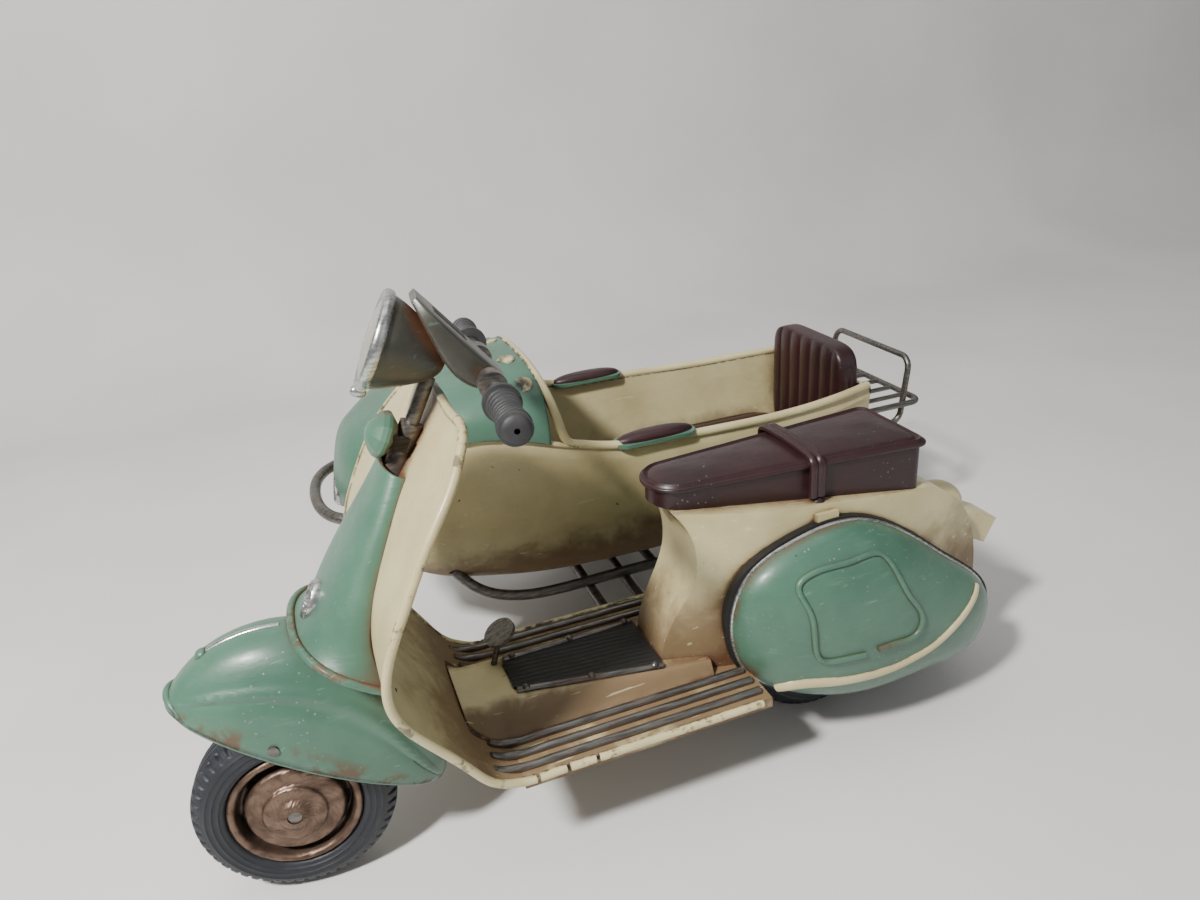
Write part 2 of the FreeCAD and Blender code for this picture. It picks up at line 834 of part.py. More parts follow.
@once
def body_solid():
    """Rear body before hollowing: side outline cut to its plan."""
    front = [Vector(x, 0, z) for x, z in body_front_outline]
    front.append(Vector(body_top_front_x, 0, seat_low_z(body_top_front_x)))
    tail = [Vector(x, 0, z) for x, z in body_tail_outline]
    tail.insert(0, Vector(body_top_rear_x, 0, seat_low_z(body_top_rear_x)))
    low_rear = Vector(tail[-1].x, 0, body_low_z)
    low_front = Vector(front[0].x - 16.0, 0, body_low_z)
    step = Vector(front[0].x - 16.0, 0, floor_top)
    edges = [
        spline(front),
        Part.LineSegment(front[-1], tail[0]).toShape(),
        spline(tail[:-1] + [low_rear]),
        Part.LineSegment(low_rear, low_front).toShape(),
        Part.LineSegment(low_front, step).toShape(),
        Part.LineSegment(step, front[0]).toShape(),
    ]
    face = Part.Face(Part.Wire(edges))
    reach = body_half_width + 2
    face.translate(Vector(0, -reach, 0))
    slab = face.extrude(Vector(0, 2 * reach, 0))
    nose_x = front[0].x + 1.0
    tail_x = low_rear.x
    plan = [
        Vector(nose_x, body_nose_half, 0),
        Vector(nose_x - 6.0, body_nose_half + 1.2, 0),
        Vector(nose_x - 22.0, body_half_width - 0.6, 0),
        Vector(nose_x - 40.0, body_half_width, 0),
        Vector(tail_x + 30.0, body_half_width, 0),
        Vector(tail_x + 12.0, body_half_width - 2.4, 0),
        Vector(tail_x, body_tail_half, 0),
    ]
    right_plan = [Vector(p.x, -p.y, 0) for p in reversed(plan)]
    outline = Part.Wire([
        spline(plan),
        Part.LineSegment(plan[-1], right_plan[0]).toShape(),
        spline(right_plan),
        Part.LineSegment(right_plan[-1], plan[0]).toShape(),
    ])
    prism = Part.Face(outline).extrude(Vector(0, 0, 120))
    return slab.common(prism)


def seat_low_z(x):
    """Height of the seat box's sloping underside at x."""
    share = (seat_nose_x - x) / (seat_nose_x - seat_rear_x)
    return seat_top_z - seat_front_depth - (seat_rear_depth - seat_front_depth) * share


def rear_axle():
    """Fixed axle through both walls of the rear body."""
    start = Vector(rear_axle_x, -body_half_width - 1.6, wheel_radius)
    return cylinder(start, left, axle_radius, 2 * body_half_width + 3.2)


def rear_body():
    """Pressed shell open below, with ears that hold the axle."""
    shell = pressed(body_solid(), sheet)
    ear = cylinder(Vector(rear_axle_x, body_half_width - 1.0, wheel_radius), left, 4.6, 1.0)
    web = box(rear_axle_x - 4.6, rear_axle_x + 4.6, body_half_width - 1.0, body_half_width,
              wheel_radius, body_low_z + 6.0)
    ears = both_sides(ear.fuse(web))
    return shell.fuse(ears.Solids).cut(rear_axle()).cut(tunnel_block()).cut(floorboard())


def cowl_ring(scale_share, y):
    """The cowl's outline drawn in towards its middle, at a distance from the scooter's middle."""
    middle_x = -140.0
    middle_z = 38.0
    points = []
    for x, z in cowl_outline:
        points.append(Vector(middle_x + (x - middle_x) * scale_share, y, middle_z + (z - middle_z) * scale_share))
    return closed_spline(points)


@once
def cowl_skin():
    """Outer surface of the left cowl, filled."""
    return cowl_dome(0.0)


def cowl_dome(inset):
    """Bulged side panel; inset gives its inner surface."""
    rings = []
    for share in (0.0, 0.30, 0.55, 0.76, 0.91, 1.0):
        reach = math.sqrt(max(0.0, 1 - share ** 2.2))
        reach = max(reach, 0.22)
        y = body_half_width + seal_width + cowl_bulge * share - inset * share
        rings.append(cowl_ring(reach - inset / 30.0, y))
    return loft(rings)


@once
def cowl_left():
    """Left side panel, a pressed dome."""
    inner = cowl_dome(sheet)
    inner.translate(Vector(0, -cut_overshoot, 0))
    return cowl_dome(0.0).cut(inner).cut(floorboard())


@once
def cowl_seals():
    """Black band between each cowl and the rear body."""
    outer_wire = cowl_ring(1.0 + seal_out / 36.0, body_half_width)
    inner_wire = cowl_ring(1.0 - 2.0 / 36.0, body_half_width)
    band = Part.Face(outer_wire).cut(Part.Face(inner_wire)).extrude(Vector(0, seal_width, 0))
    return both_sides(band.cut(body_solid()).cut(floorboard()).cut(floor_rails()))


def cowl_surface_y(x, z):
    """Outermost point of the left cowl on the line across the scooter through x and z."""
    probe = Part.LineSegment(Vector(x, body_half_width, z), Vector(x, body_half_width + 30, z)).toShape()
    hit = cowl_skin().common(probe)
    return hit.BoundBox.YMax if hit.Edges else body_half_width + seal_width


def on_cowl(outline, radius):
    """Rod soldered to the cowl's surface along an outline, sunk into it by part of its radius."""
    corners = [Vector(x, 0, z) for x, z in outline]
    places = []
    for start, end in zip(corners, corners[1:]):
        steps = max(1, round((end - start).Length / cowl_wire_step))
        places += [start + (end - start) * (step / steps) for step in range(steps)]
    points = [Vector(p.x, cowl_surface_y(p.x, p.z) + radius * 0.3, p.z) for p in places + corners[-1:]]
    return bent_rod(points, radius, cowl_wire_bend)


def cowl_trims():
    """Raised wire loop on each cowl, open at its foot."""
    return both_sides(on_cowl(trim_outline, trim_radius))


def cowl_mouldings():
    """Raised moulding above the lower edge of each cowl."""
    return both_sides(on_cowl(moulding_outline, moulding_radius))


def seat_plan(grow, z):
    """Plan of the bench seat: a narrow round nose widening to a square rear end."""
    nose = seat_nose_half + grow
    rear = seat_rear_half + grow
    front_x = seat_nose_x + grow
    rear_x = seat_rear_x - grow
    shoulder_x = front_x - nose * 0.9
    corner = 2.4
    nose_arc = Part.Arc(Vector(shoulder_x, nose, z), Vector(front_x, 0, z), Vector(shoulder_x, -nose, z))
    right_side = Part.LineSegment(Vector(shoulder_x, -nose, z), Vector(rear_x + corner, -rear, z))
    bow = 0.29 * corner
    right_corner = Part.Arc(Vector(rear_x + corner, -rear, z), Vector(rear_x + bow, -rear + bow, z),
                            Vector(rear_x, -rear + corner, z))
    back = Part.LineSegment(Vector(rear_x, -rear + corner, z), Vector(rear_x, rear - corner, z))
    left_corner = Part.Arc(Vector(rear_x, rear - corner, z), Vector(rear_x + bow, rear - bow, z),
                           Vector(rear_x + corner, rear, z))
    left_side = Part.LineSegment(Vector(rear_x + corner, rear, z), Vector(shoulder_x, nose, z))
    return Part.Wire([part.toShape() for part in
                      (nose_arc, right_side, right_corner, back, left_corner, left_side)])


def seat_base():
    """Box of the seat, deeper at the rear, standing on the body."""
    top = seat_top_z - seat_plate
    block = Part.Face(seat_plan(0.0, 0.0)).extrude(Vector(0, 0, top))
    front_x = seat_nose_x + 5
    rear_x = seat_rear_x - 5
    side = polygon([
        Vector(front_x, -40, seat_low_z(front_x)), Vector(rear_x, -40, seat_low_z(rear_x)),
        Vector(rear_x, -40, top), Vector(front_x, -40, top),
    ])
    return pressed(block.common(Part.Face(side).extrude(Vector(0, 80, 0))), sheet)


@once
def seat_top():
    """Plate over the seat box, with a rounded edge."""
    plate = Part.Face(seat_plan(seat_lip, seat_top_z - seat_plate)).extrude(Vector(0, 0, seat_plate))
    edges = [edge for edge in plate.Edges if abs(edge.BoundBox.ZMax - edge.BoundBox.ZMin) < 0.01]
    return plate.makeFillet(seat_plate * 0.4, edges).cut(seat_strap())


def seat_width_at(x):
    """Half width of the seat box at x."""
    shoulder_x = seat_nose_x - seat_nose_half * 0.9
    share = (x - shoulder_x) / (seat_rear_x - shoulder_x)
    return seat_nose_half + (seat_rear_half - seat_nose_half) * share


@once
def seat_strap():
    """Double-ridged strap over the seat and down its sides."""
    half = seat_width_at(strap_x) + seat_lip + 0.15
    low = seat_top_z - 9.0
    ridges = []
    for side in (-1, 1):
        x = strap_x + side * strap_width * 0.28
        outer = box(x - strap_width * 0.25, x + strap_width * 0.25, -half - strap_thickness,
                    half + strap_thickness, low, seat_top_z + strap_thickness)
        ridges.append(outer)
    band = box(strap_x - strap_width / 2, strap_x + strap_width / 2, -half - strap_thickness * 0.5,
               half + strap_thickness * 0.5, low, seat_top_z + strap_thickness * 0.5)
    inner = box(strap_x - strap_width, strap_x + strap_width, -half, half, 0, seat_top_z - strap_sink)
    return band.fuse(ridges).cut(inner)


@once
def strap_studs():
    """Knob at each end of the strap."""
    half = seat_width_at(strap_x) + seat_lip + 0.15
    stud = Part.makeSphere(stud_radius, Vector(strap_x - 0.6, half + 0.4, seat_top_z - 9.0 - stud_radius))
    keep = box(strap_x - 9, strap_x + 9, seat_width_at(strap_x) + 0.4, half + 9, 0, 100)
    return both_sides(stud.common(keep).cut(body_solid()).cut(seat_strap()))


def seat_brackets():
    """Folded tab below each stud."""
    y = body_half_width
    tab = box(strap_x - 4.6, strap_x + 1.4, y - 0.6, y + 1.4, seat_top_z - 16.5, seat_top_z - 12.6)
    return both_sides(tab.cut(body_solid()).cut(cowl_seals()).cut(strap_studs()))


@once
def tail_dome():
    """Small dome on the tail above the lamp."""
    ball = Part.makeSphere(1.0, Vector(0, 0, 0))
    matrix = FreeCAD.Matrix()
    matrix.scale(tail_dome_half)
    dome = ball.transformGeometry(matrix)
    dome.rotate(Vector(0, 0, 0), Vector(0, 1, 0), -20)
    dome.translate(tail_dome_middle)
    return dome.cut(body_solid()).cut(seat_top())


lamp_box_drop = math.radians(lamp_box_drop_deg)
lamp_box_back = Vector(-math.cos(lamp_box_drop), 0, -math.sin(lamp_box_drop))
lamp_box_up = Vector(-math.sin(lamp_box_drop), 0, math.cos(lamp_box_drop))


def lamp_block(start, length, half, thickness):
    """Block laid along the tail lamp's own slope."""
    base = lamp_box_front + lamp_box_back * start - lamp_box_up * (thickness / 2) - left * half
    corners = [base, base + left * 2 * half, base + left * 2 * half + lamp_box_up * thickness,
               base + lamp_box_up * thickness]
    return Part.Face(polygon(corners)).extrude(lamp_box_back * length)


def tail_lamp_housing():
    """Box that holds the tail lamp's lens."""
    outer = lamp_block(-6.0, lamp_box_length + 6.0 - lamp_lens_thickness * 0.5, lamp_box_half, lamp_box_thickness)
    pocket = lamp_block(lamp_box_length - 3.0, 6.0, lamp_box_half - sheet, lamp_box_thickness - 2 * sheet)
    return outer.cut(pocket).cut(body_solid()).cut(tail_dome())


def tail_lamp_lens():
    """Lens pressed into the box."""
    return lamp_block(lamp_box_length - 2.4, 2.4, lamp_box_half - sheet, lamp_box_thickness - 2 * sheet)


# ---------------------------------------------------------------- sidecar
def car_curves():
    """Smooth curves of share, keel, crease and crown over the distance behind the nose."""
    curves = []
    for column in range(1, 5):
        curve = Part.BSplineCurve()
        curve.interpolate([Vector(station[0], station[column], 0) for station in car_stations])
        curves.append(curve)
    return curves


car_profile = car_curves()


def car_at(x):
    """Share of the half width, keel, crease and crown of the sidecar at x."""
    values = []
    for curve in car_profile:
        low = curve.FirstParameter
        high = curve.LastParameter
        for _ in range(40):
            middle = (low + high) / 2
            if curve.value(middle).x > x:
                low = middle
            else:
                high = middle
        values.append(curve.value(low).y)
    return values


def car_places(first_x, last_x):
    """Section places, closer together round the nose."""
    places = [first_x]
    while places[-1] - last_x > car_section_step * 1.5:
        nose_distance = car_stations[0][0] - places[-1]
        places.append(places[-1] - min(car_section_step, 1.2 + nose_distance * 0.3))
    return places + [last_x]


def hull_section(x, inset, lift):
    """Section of the hull: a rounded trough hanging from its crease line."""
    share, keel, crease, crown = car_at(x)
    origin = Vector(x, car_middle_y, crease + lift)
    return arch_wire(origin, left, Vector(0, 0, -1), car_half_width * share - inset, crease - keel - inset + lift,
                     0.45)


@once
def hull_space():
    """Space inside the hull."""
    places = car_places(car_stations[0][0] - 4.0, car_rear_x + car_wall)
    return loft([hull_section(x, car_wall, car_open_lift) for x in places], True)


@once
def hull_form():
    """Hull before hollowing."""
    return loft([hull_section(x, 0.0, 0.0) for x in car_places(car_stations[0][0], car_rear_x)], True)


@once
def sidecar_hull():
    """Cream hull, open above, from the nose to the back of the seat."""
    return hull_form().cut(hull_space()).cut([sidecar_coaming(), bumper_hoop(), nose_lamp_pocket()])


def deck_section(x, inset, drop):
    """Section of the nose deck: an arch standing on the crease line."""
    share, keel, crease, crown = car_at(x)
    origin = Vector(x, car_middle_y, crease - drop)
    return arch_wire(origin, left, Vector(0, 0, 1), car_half_width * share - inset,
                     crown - crease - inset + drop, 0.72)


@once
def sidecar_deck():
    """Green deck over the nose, a pressed shell open to the cockpit."""
    nose_x = car_stations[0][0]
    outer = loft([deck_section(x, 0.0, 0.0) for x in car_places(nose_x, cockpit_front_x)], True)
    places = car_places(nose_x - 4.0, cockpit_front_x - cut_overshoot)
    inner = loft([deck_section(x, car_wall, car_open_lift) for x in places], True)
    return outer.cut(inner).cut([sidecar_coaming(), nose_lamp_pocket()])


def crease_point(x, side):
    """Point on the hull's upper edge, on the left or right of the sidecar."""
    share, keel, crease, crown = car_at(x)
    return Vector(x, car_middle_y + side * (car_half_width * share - coaming_radius * 0.2), crease + 0.6)


def coaming_path():
    """Points of the strip around the cockpit, from the rear left over the deck to the rear right."""
    edge_places = (car_rear_x + 1.0, -175.0, -150.0, -125.0, -105.0, -92.0)
    points = [crease_point(x, 1) for x in edge_places]
    share, keel, crease, crown = car_at(cockpit_front_x)
    steps = 8
    for step in range(1, steps):
        angle = math.pi * step / steps
        sway = math.copysign(abs(math.cos(angle)) ** 0.72, math.cos(angle))
        rise = math.sin(angle) ** 0.72
        lean = 4.0 * (1.0 - rise)
        points.append(Vector(cockpit_front_x - lean, car_middle_y + car_half_width * share * sway,
                             crease + (crown - crease) * rise + 0.4))
    return points + [crease_point(x, -1) for x in reversed(edge_places)]


@once
def sidecar_coaming():
    """Rounded cream strip round the edge of the cockpit."""
    return jointed_rod(coaming_path(), coaming_radius)


def deck_buttons():
    """Two flat cream buttons on each side of the deck, near the coaming."""
    buttons = []
    for x, angle_deg in ((-76.0, 46.0), (-75.0, 77.0)):
        for mirror in (1, -1):
            angle = math.radians(angle_deg)
            share, keel, crease, crown = car_at(x)
            y = car_middle_y + mirror * car_half_width * share * math.cos(angle) ** 0.72
            z = crease + (crown - crease) * math.sin(angle) ** 0.72 + 0.3
            normal = Vector(0.12, mirror * math.cos(angle) * 0.62, math.sin(angle)).normalize()
            buttons.append(cylinder(Vector(x, y, z) - normal * 0.8, normal, deck_button_radius, 1.8))
    return Part.makeCompound(buttons).cut(sidecar_deck()).cut(sidecar_coaming())


def sidecar_cushion():
    """Seat box with a rounded top, standing on the hull's floor."""
    rear_x = car_rear_x + car_wall + seat_back_thickness
    pad = box(cushion_front_x, rear_x, car_middle_y - cushion_half, car_middle_y + cushion_half, 0.0, cushion_top_z)
    rounded = pad.makeFillet(cushion_round, [edge for edge in pad.Edges if edge.BoundBox.ZMax > cushion_top_z - 0.1])
    return pressed(rounded.common(hull_space()), sheet)


def sidecar_seat_back():
    """Upright ribbed back across the rear of the cockpit."""
    rear_x = car_rear_x + car_wall
    back = box(rear_x, rear_x + seat_back_thickness, car_middle_y - seat_back_half,
               car_middle_y + seat_back_half, seat_back_low_z, seat_back_top_z)
    crown = [edge for edge in back.Edges
             if edge.BoundBox.XLength > seat_back_thickness * 0.9 and edge.BoundBox.ZMin > seat_back_top_z - 1.0]
    return pressed(back.makeFillet(seat_back_round, crown), sheet).cut(sidecar_hull())


def arm_pad(lift, thickness, grow):
    """Round-ended block on the hull's left edge."""
    y = car_middle_y + car_half_width - 1.0
    half = arm_pad_width / 2 + grow
    reach = arm_pad_length / 2 - half + grow
    z = arm_base_z + lift
    middle = box(arm_pad_x - reach, arm_pad_x + reach, y - half, y + half, z, z + thickness)
    front = cylinder(Vector(arm_pad_x + reach, y, z), Vector(0, 0, 1), half, thickness)
    rear = cylinder(Vector(arm_pad_x - reach, y, z), Vector(0, 0, 1), half, thickness)
    return middle.fuse([front, rear]).removeSplitter()


def across_car(shape):
    """A piece and its image on the other side of the sidecar."""
    other = shape.mirror(Vector(0, car_middle_y, 0), Vector(0, 1, 0))
    return Part.makeCompound([shape, other])


def armrest_bases():
    """Green plate under each armrest pad."""
    return across_car(arm_pad(0.0, arm_base_thickness, 0.7)).cut([sidecar_coaming(), sidecar_hull()])


def armrest_pads():
    """Armrest pad on each side of the cockpit."""
    return across_car(arm_pad(arm_base_thickness, arm_pad_thickness, 0.0)).cut(sidecar_coaming())


nose_lamp_forward = Vector(0.97, 0.0, 0.24).normalize()
nose_lamp_place = Vector(-24.6, car_middle_y, 61.0)


def nose_lamp_pocket():
    """Seat that the nose lamp takes out of the hull and the deck."""
    return cylinder(nose_lamp_place - nose_lamp_forward, nose_lamp_forward, nose_lamp_radius, 12.0)


def nose_lamp_bezel():
    """Ring round the small lamp on the nose."""
    profile = [
        (nose_lamp_radius - 1.6, -1.0),
        (nose_lamp_radius, -1.0),
        (nose_lamp_radius, 1.2),
        (nose_lamp_radius - 0.8, 2.0),
        (nose_lamp_radius - 1.6, 1.2),
    ]
    return revolved(profile, nose_lamp_place, nose_lamp_forward)


def nose_lamp_lens():
    """Domed lens inside the bezel."""
    radius = nose_lamp_radius - 1.6
    profile = [(0.0, -0.8), (radius, -0.8), (radius, 0.6), (radius * 0.6, 1.8), (0.0, 2.3)]
    return revolved(profile, nose_lamp_place, nose_lamp_forward)


@once
def bumper_hoop():
    """Bent rod in front of the nose."""
    half = bumper_half_width
    root_x = bumper_front_x - 22.0
    points = [
        Vector(root_x, car_middle_y + half * 0.85, bumper_z), Vector(bumper_front_x - 8.0, car_middle_y + half, bumper_z),
        Vector(bumper_front_x, car_middle_y + half * 0.5, bumper_z),
        Vector(bumper_front_x, car_middle_y - half * 0.5, bumper_z),
        Vector(bumper_front_x - 8.0, car_middle_y - half, bumper_z), Vector(root_x, car_middle_y - half * 0.85, bumper_z),
    ]
    return bent_rod(points, bumper_rod_radius, 7.0)


@once
def frame_rail():
    """Rod under each lower edge of the hull, its ends turned up against it."""
    y = car_middle_y + car_half_width - 6.0
    points = [
        Vector(-48.0, y - 3.0, 38.0), Vector(-60.0, y - 1.0, 25.0), Vector(-84.0, y, frame_rail_z),
        Vector(-158.0, y, frame_rail_z), Vector(-181.0, y - 3.0, 38.5),
    ]
    return across_car(bent_rod(points, frame_rod_radius, 8.0)).cut(hull_form())


def cross_rods():
    """Two rods that tie the sidecar's frame to the scooter's floor."""
    rods = []
    low_z = frame_rail_z - 2 * frame_rod_radius + cross_rod_sink
    for x in cross_rod_places:
        points = [
            Vector(x, -19.0, floor_top - sheet), Vector(x, -19.0, low_z),
            Vector(x, car_middle_y - car_half_width + 3.0, low_z),
        ]
        rods.append(bent_rod(points, frame_rod_radius, 3.0))
    return Part.makeCompound(rods).cut(frame_rail())


def luggage_rack():
    """Frame and slats of the rack behind the seat."""
    half = rack_half_width
    root_x = car_rear_x + 0.4
    frame = bent_rod([
        Vector(root_x, car_middle_y + half, rack_z), Vector(rack_rear_x, car_middle_y + half, rack_z),
        Vector(rack_rear_x, car_middle_y - half, rack_z), Vector(root_x, car_middle_y - half, rack_z),
    ], rack_rod_radius, 4.0)
    slats = []
    for index in range(slat_count):
        y = car_middle_y + half * (-1 + 2 * (index + 1) / (slat_count + 1))
        slats.append(cylinder(Vector(rack_rear_x, y, rack_z), Vector(1, 0, 0), rack_rod_radius * 0.8,
                              root_x - rack_rear_x))
    return frame.fuse(slats).cut(sidecar_hull())


def rack_hoop():
    """Raised hoop at the back of the rack."""
    half = rack_half_width - 2.2
    x = rack_rear_x + 5.0
    root_x = car_rear_x + 0.4
    return bent_rod([
        Vector(root_x, car_middle_y + half, hoop_root_z), Vector(x + 1.5, car_middle_y + half, hoop_root_z),
        Vector(x - 1.0, car_middle_y + half, hoop_top_z),
        Vector(x - 1.0, car_middle_y - half, hoop_top_z), Vector(x + 1.5, car_middle_y - half, hoop_root_z),
        Vector(root_x, car_middle_y - half, hoop_root_z),
    ], rack_rod_radius, 4.0).cut(sidecar_hull())


def sidecar_axle():
    """Fixed axle under the hull for the sidecar's wheel."""
    start = Vector(sidecar_axle_x, car_middle_y + car_half_width - 8.0, wheel_radius)
    return cylinder(start, Vector(0, -1, 0), axle_radius, start.y - sidecar_wheel_y + narrow_tyre_width / 2 + 2.0)


# ---------------------------------------------------------------- assembly
def build():
    """Every piece by its node's name, in the design frame."""
    front_centre = Vector(0, 0, wheel_radius)
    rear_centre = Vector(rear_axle_x, 0, wheel_radius)
    car_centre = Vector(sidecar_axle_x, sidecar_wheel_y, wheel_radius)
    steering_pieces = {
        "fork": fork(),
        "mudguard": mudguard(),
        "mudguard_strip": mudguard_strip(),
        "mudguard_bolts": mudguard_bolts(),
        "nacelle": nacelle(),
        "headlamp_bucket": headlamp_bucket(),
        "headlamp_rim": headlamp_rim(),
        "headlamp_lens": headlamp_lens(),
        "handlebar": handlebar(),
        "grips": grips(),
        "front_tyre": tyre(front_centre, tyre_width),
        "front_wheel_disc": wheel_disc(front_centre, tyre_width),
    }
    pieces = {name: steered(shape) for name, shape in steering_pieces.items()}
    pieces.update({
        "legshield": legshield(),
        "floorboard": floorboard(),
        "floor_rails": floor_rails(),
        "tunnel": tunnel(),
        "tunnel_mat": tunnel_mat(),
        "mat_rails": mat_rails(),
        "mat_rivets": mat_rivets(),
        "head_tube": head_tube(),
        "column_cover": column_cover(),
        "badge": badge(),
        "horn": horn(),
        "horn_bracket": horn_bracket(),
        "brake_pedal": brake_pedal(),
        "rear_body": rear_body(),
        "rear_axle": rear_axle(),
        "cowl_left": cowl_left(),
        "cowl_right": mirrored(cowl_left()),
        "cowl_seals": cowl_seals(),
        "cowl_trims": cowl_trims(),
        "cowl_mouldings": cowl_mouldings(),
        "seat_base": seat_base(),
        "seat_top": seat_top(),
        "seat_strap": seat_strap(),
        "strap_studs": strap_studs(),
        "seat_brackets": seat_brackets(),
        "tail_dome": tail_dome(),
        "tail_lamp_housing": tail_lamp_housing(),
        "tail_lamp_lens": tail_lamp_lens(),
        "rear_tyre": tyre(rear_centre, narrow_tyre_width),
        "rear_wheel_disc": wheel_disc(rear_centre, narrow_tyre_width),
        "sidecar_hull": sidecar_hull(),
        "sidecar_deck": sidecar_deck(),
        "sidecar_coaming": sidecar_coaming(),
        "deck_buttons": deck_buttons(),
        "sidecar_cushion": sidecar_cushion(),
        "sidecar_seat_back": sidecar_seat_back(),
        "armrest_pads": armrest_pads(),
        "armrest_bases": armrest_bases(),
        "nose_lamp_bezel": nose_lamp_bezel(),
        "nose_lamp_lens": nose_lamp_lens(),
        "bumper_hoop": bumper_hoop(),
        "frame_rail": frame_rail(),
        "cross_rods": cross_rods(),
        "luggage_rack": luggage_rack(),
        "rack_hoop": rack_hoop(),
        "sidecar_axle": sidecar_axle(),
        "sidecar_tyre": tyre(car_centre, narrow_tyre_width),
        "sidecar_wheel_disc": wheel_disc(car_centre, narrow_tyre_width).mirror(car_centre, left),
    })
    return pieces


def main():
    os.makedirs("parts", exist_ok=True)
    pieces = build()
    whole = FreeCAD.BoundBox()
    for shape in pieces.values():
        whole.add(shape.optimalBoundingBox(False, False))
    shift = Vector(-whole.Center.x, -whole.Center.y, -whole.ZMin)
    for name, shape in pieces.items():
        placed = shape.copy()
        placed.translate(shift)
        placed.exportStep("parts/" + name + ".step")
    print("origin shift", [round(value, 4) for value in shift])
    print("box", [round(value, 3) for value in (whole.XLength, whole.YLength, whole.ZLength)])
    for name, shape in pieces.items():
        if not shape.isValid() or shape.Volume <= 0:
            print("check", name, shape.isValid(), round(shape.Volume, 3))


main()
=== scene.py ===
import math

import bmesh
import bpy
import numpy as np
from mathutils import Matrix, Vector


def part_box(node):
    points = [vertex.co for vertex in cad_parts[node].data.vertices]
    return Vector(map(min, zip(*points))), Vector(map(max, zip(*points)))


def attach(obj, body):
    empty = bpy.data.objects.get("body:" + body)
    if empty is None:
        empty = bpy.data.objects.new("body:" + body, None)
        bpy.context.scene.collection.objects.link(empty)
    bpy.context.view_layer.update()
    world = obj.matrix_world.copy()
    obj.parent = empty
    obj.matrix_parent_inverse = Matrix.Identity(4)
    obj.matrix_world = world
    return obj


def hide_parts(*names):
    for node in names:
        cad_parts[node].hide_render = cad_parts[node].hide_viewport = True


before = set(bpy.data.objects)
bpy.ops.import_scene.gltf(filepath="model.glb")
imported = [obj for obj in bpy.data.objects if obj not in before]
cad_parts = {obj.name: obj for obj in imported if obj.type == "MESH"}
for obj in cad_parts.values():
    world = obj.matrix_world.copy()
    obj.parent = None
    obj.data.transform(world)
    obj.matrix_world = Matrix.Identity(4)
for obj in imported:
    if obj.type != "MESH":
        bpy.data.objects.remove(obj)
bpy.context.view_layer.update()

# The visible scooter and sidecar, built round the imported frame.  Shapes are worked out in
# millimetres in the model's own layout (x = 0 at the front axle, y = 0 in the scooter's middle
# plane, z = 0 on the ground) and are moved into the row frame when their mesh is made.
MM = 0.001
WHEEL_RADIUS = 22.0
UPWARD = np.array([0.0, 0.0, 1.0])
MIRROR = np.array([1.0, -1.0, 1.0])
SIDES = ((1, "left"), (-1, "right"))
SIDECAR_WHEEL = np.array([-112.0, -114.5, WHEEL_RADIUS])
REAR_WHEEL = np.array([-136.0, 0.0, WHEEL_RADIUS])
low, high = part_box("sidecar_tyre")
SHIFT = (np.array(low) + np.array(high)) / 2 - SIDECAR_WHEEL * MM

COLUMN_FOOT = np.array([-18.7, 0.0, 66.5])
LEAN = math.radians(28.2)
UP = np.array([-math.sin(LEAN), 0.0, math.cos(LEAN)])
FORWARD = np.array([math.cos(LEAN), 0.0, math.sin(LEAN)])
LEFT = np.array([0.0, 1.0, 0.0])
STEER_REST = math.radians(-7.0)


# ---------------------------------------------------------------- curves and patches
def unit(vector):
    """The vector, or each row of vectors, at length 1."""
    return vector / np.linalg.norm(vector, axis=-1, keepdims=True)


def circle(count):
    """Angles spread evenly once round."""
    return np.linspace(0, 2 * math.pi, count, endpoint=False)


def blunt(value, power):
    """A power of the value's size that keeps its sign."""
    return np.sign(value) * np.abs(value) ** power


def arch(angle, power):
    """Sideways and upward shares of an arch at angles from 0 to half a turn, both by one power."""
    return blunt(np.cos(angle), power), np.clip(np.sin(angle), 0, 1) ** power


def ridge(place, middle, width):
    """Bell curve, 1 at the middle: exp(-((place - middle) / width) squared)."""
    return np.exp(-((place - middle) / width) ** 2)


def grid(x, y, z):
    """Points from three broadcast coordinates."""
    return np.stack(np.broadcast_arrays(x, y, z), -1)


def run_length(points):
    """Distance from the first point to each point, along the line through them."""
    return np.concatenate([[0], np.cumsum(np.linalg.norm(np.diff(points, axis=0), axis=1))])


def steered(points):
    """Points turned about the steering column to the place where the front rests."""
    rel = points - COLUMN_FOOT
    along = (rel @ UP)[..., None] * UP
    flat = rel - along
    turned = flat * math.cos(STEER_REST) + np.cross(UP, flat) * math.sin(STEER_REST)
    return COLUMN_FOOT + along + turned


def on_column(along, forward, side):
    """Points measured along the column, in front of it and to its left; arrays are welcome."""
    along, forward, side = np.broadcast_arrays(along, forward, side)
    return COLUMN_FOOT + along[..., None] * UP + forward[..., None] * FORWARD + side[..., None] * LEFT


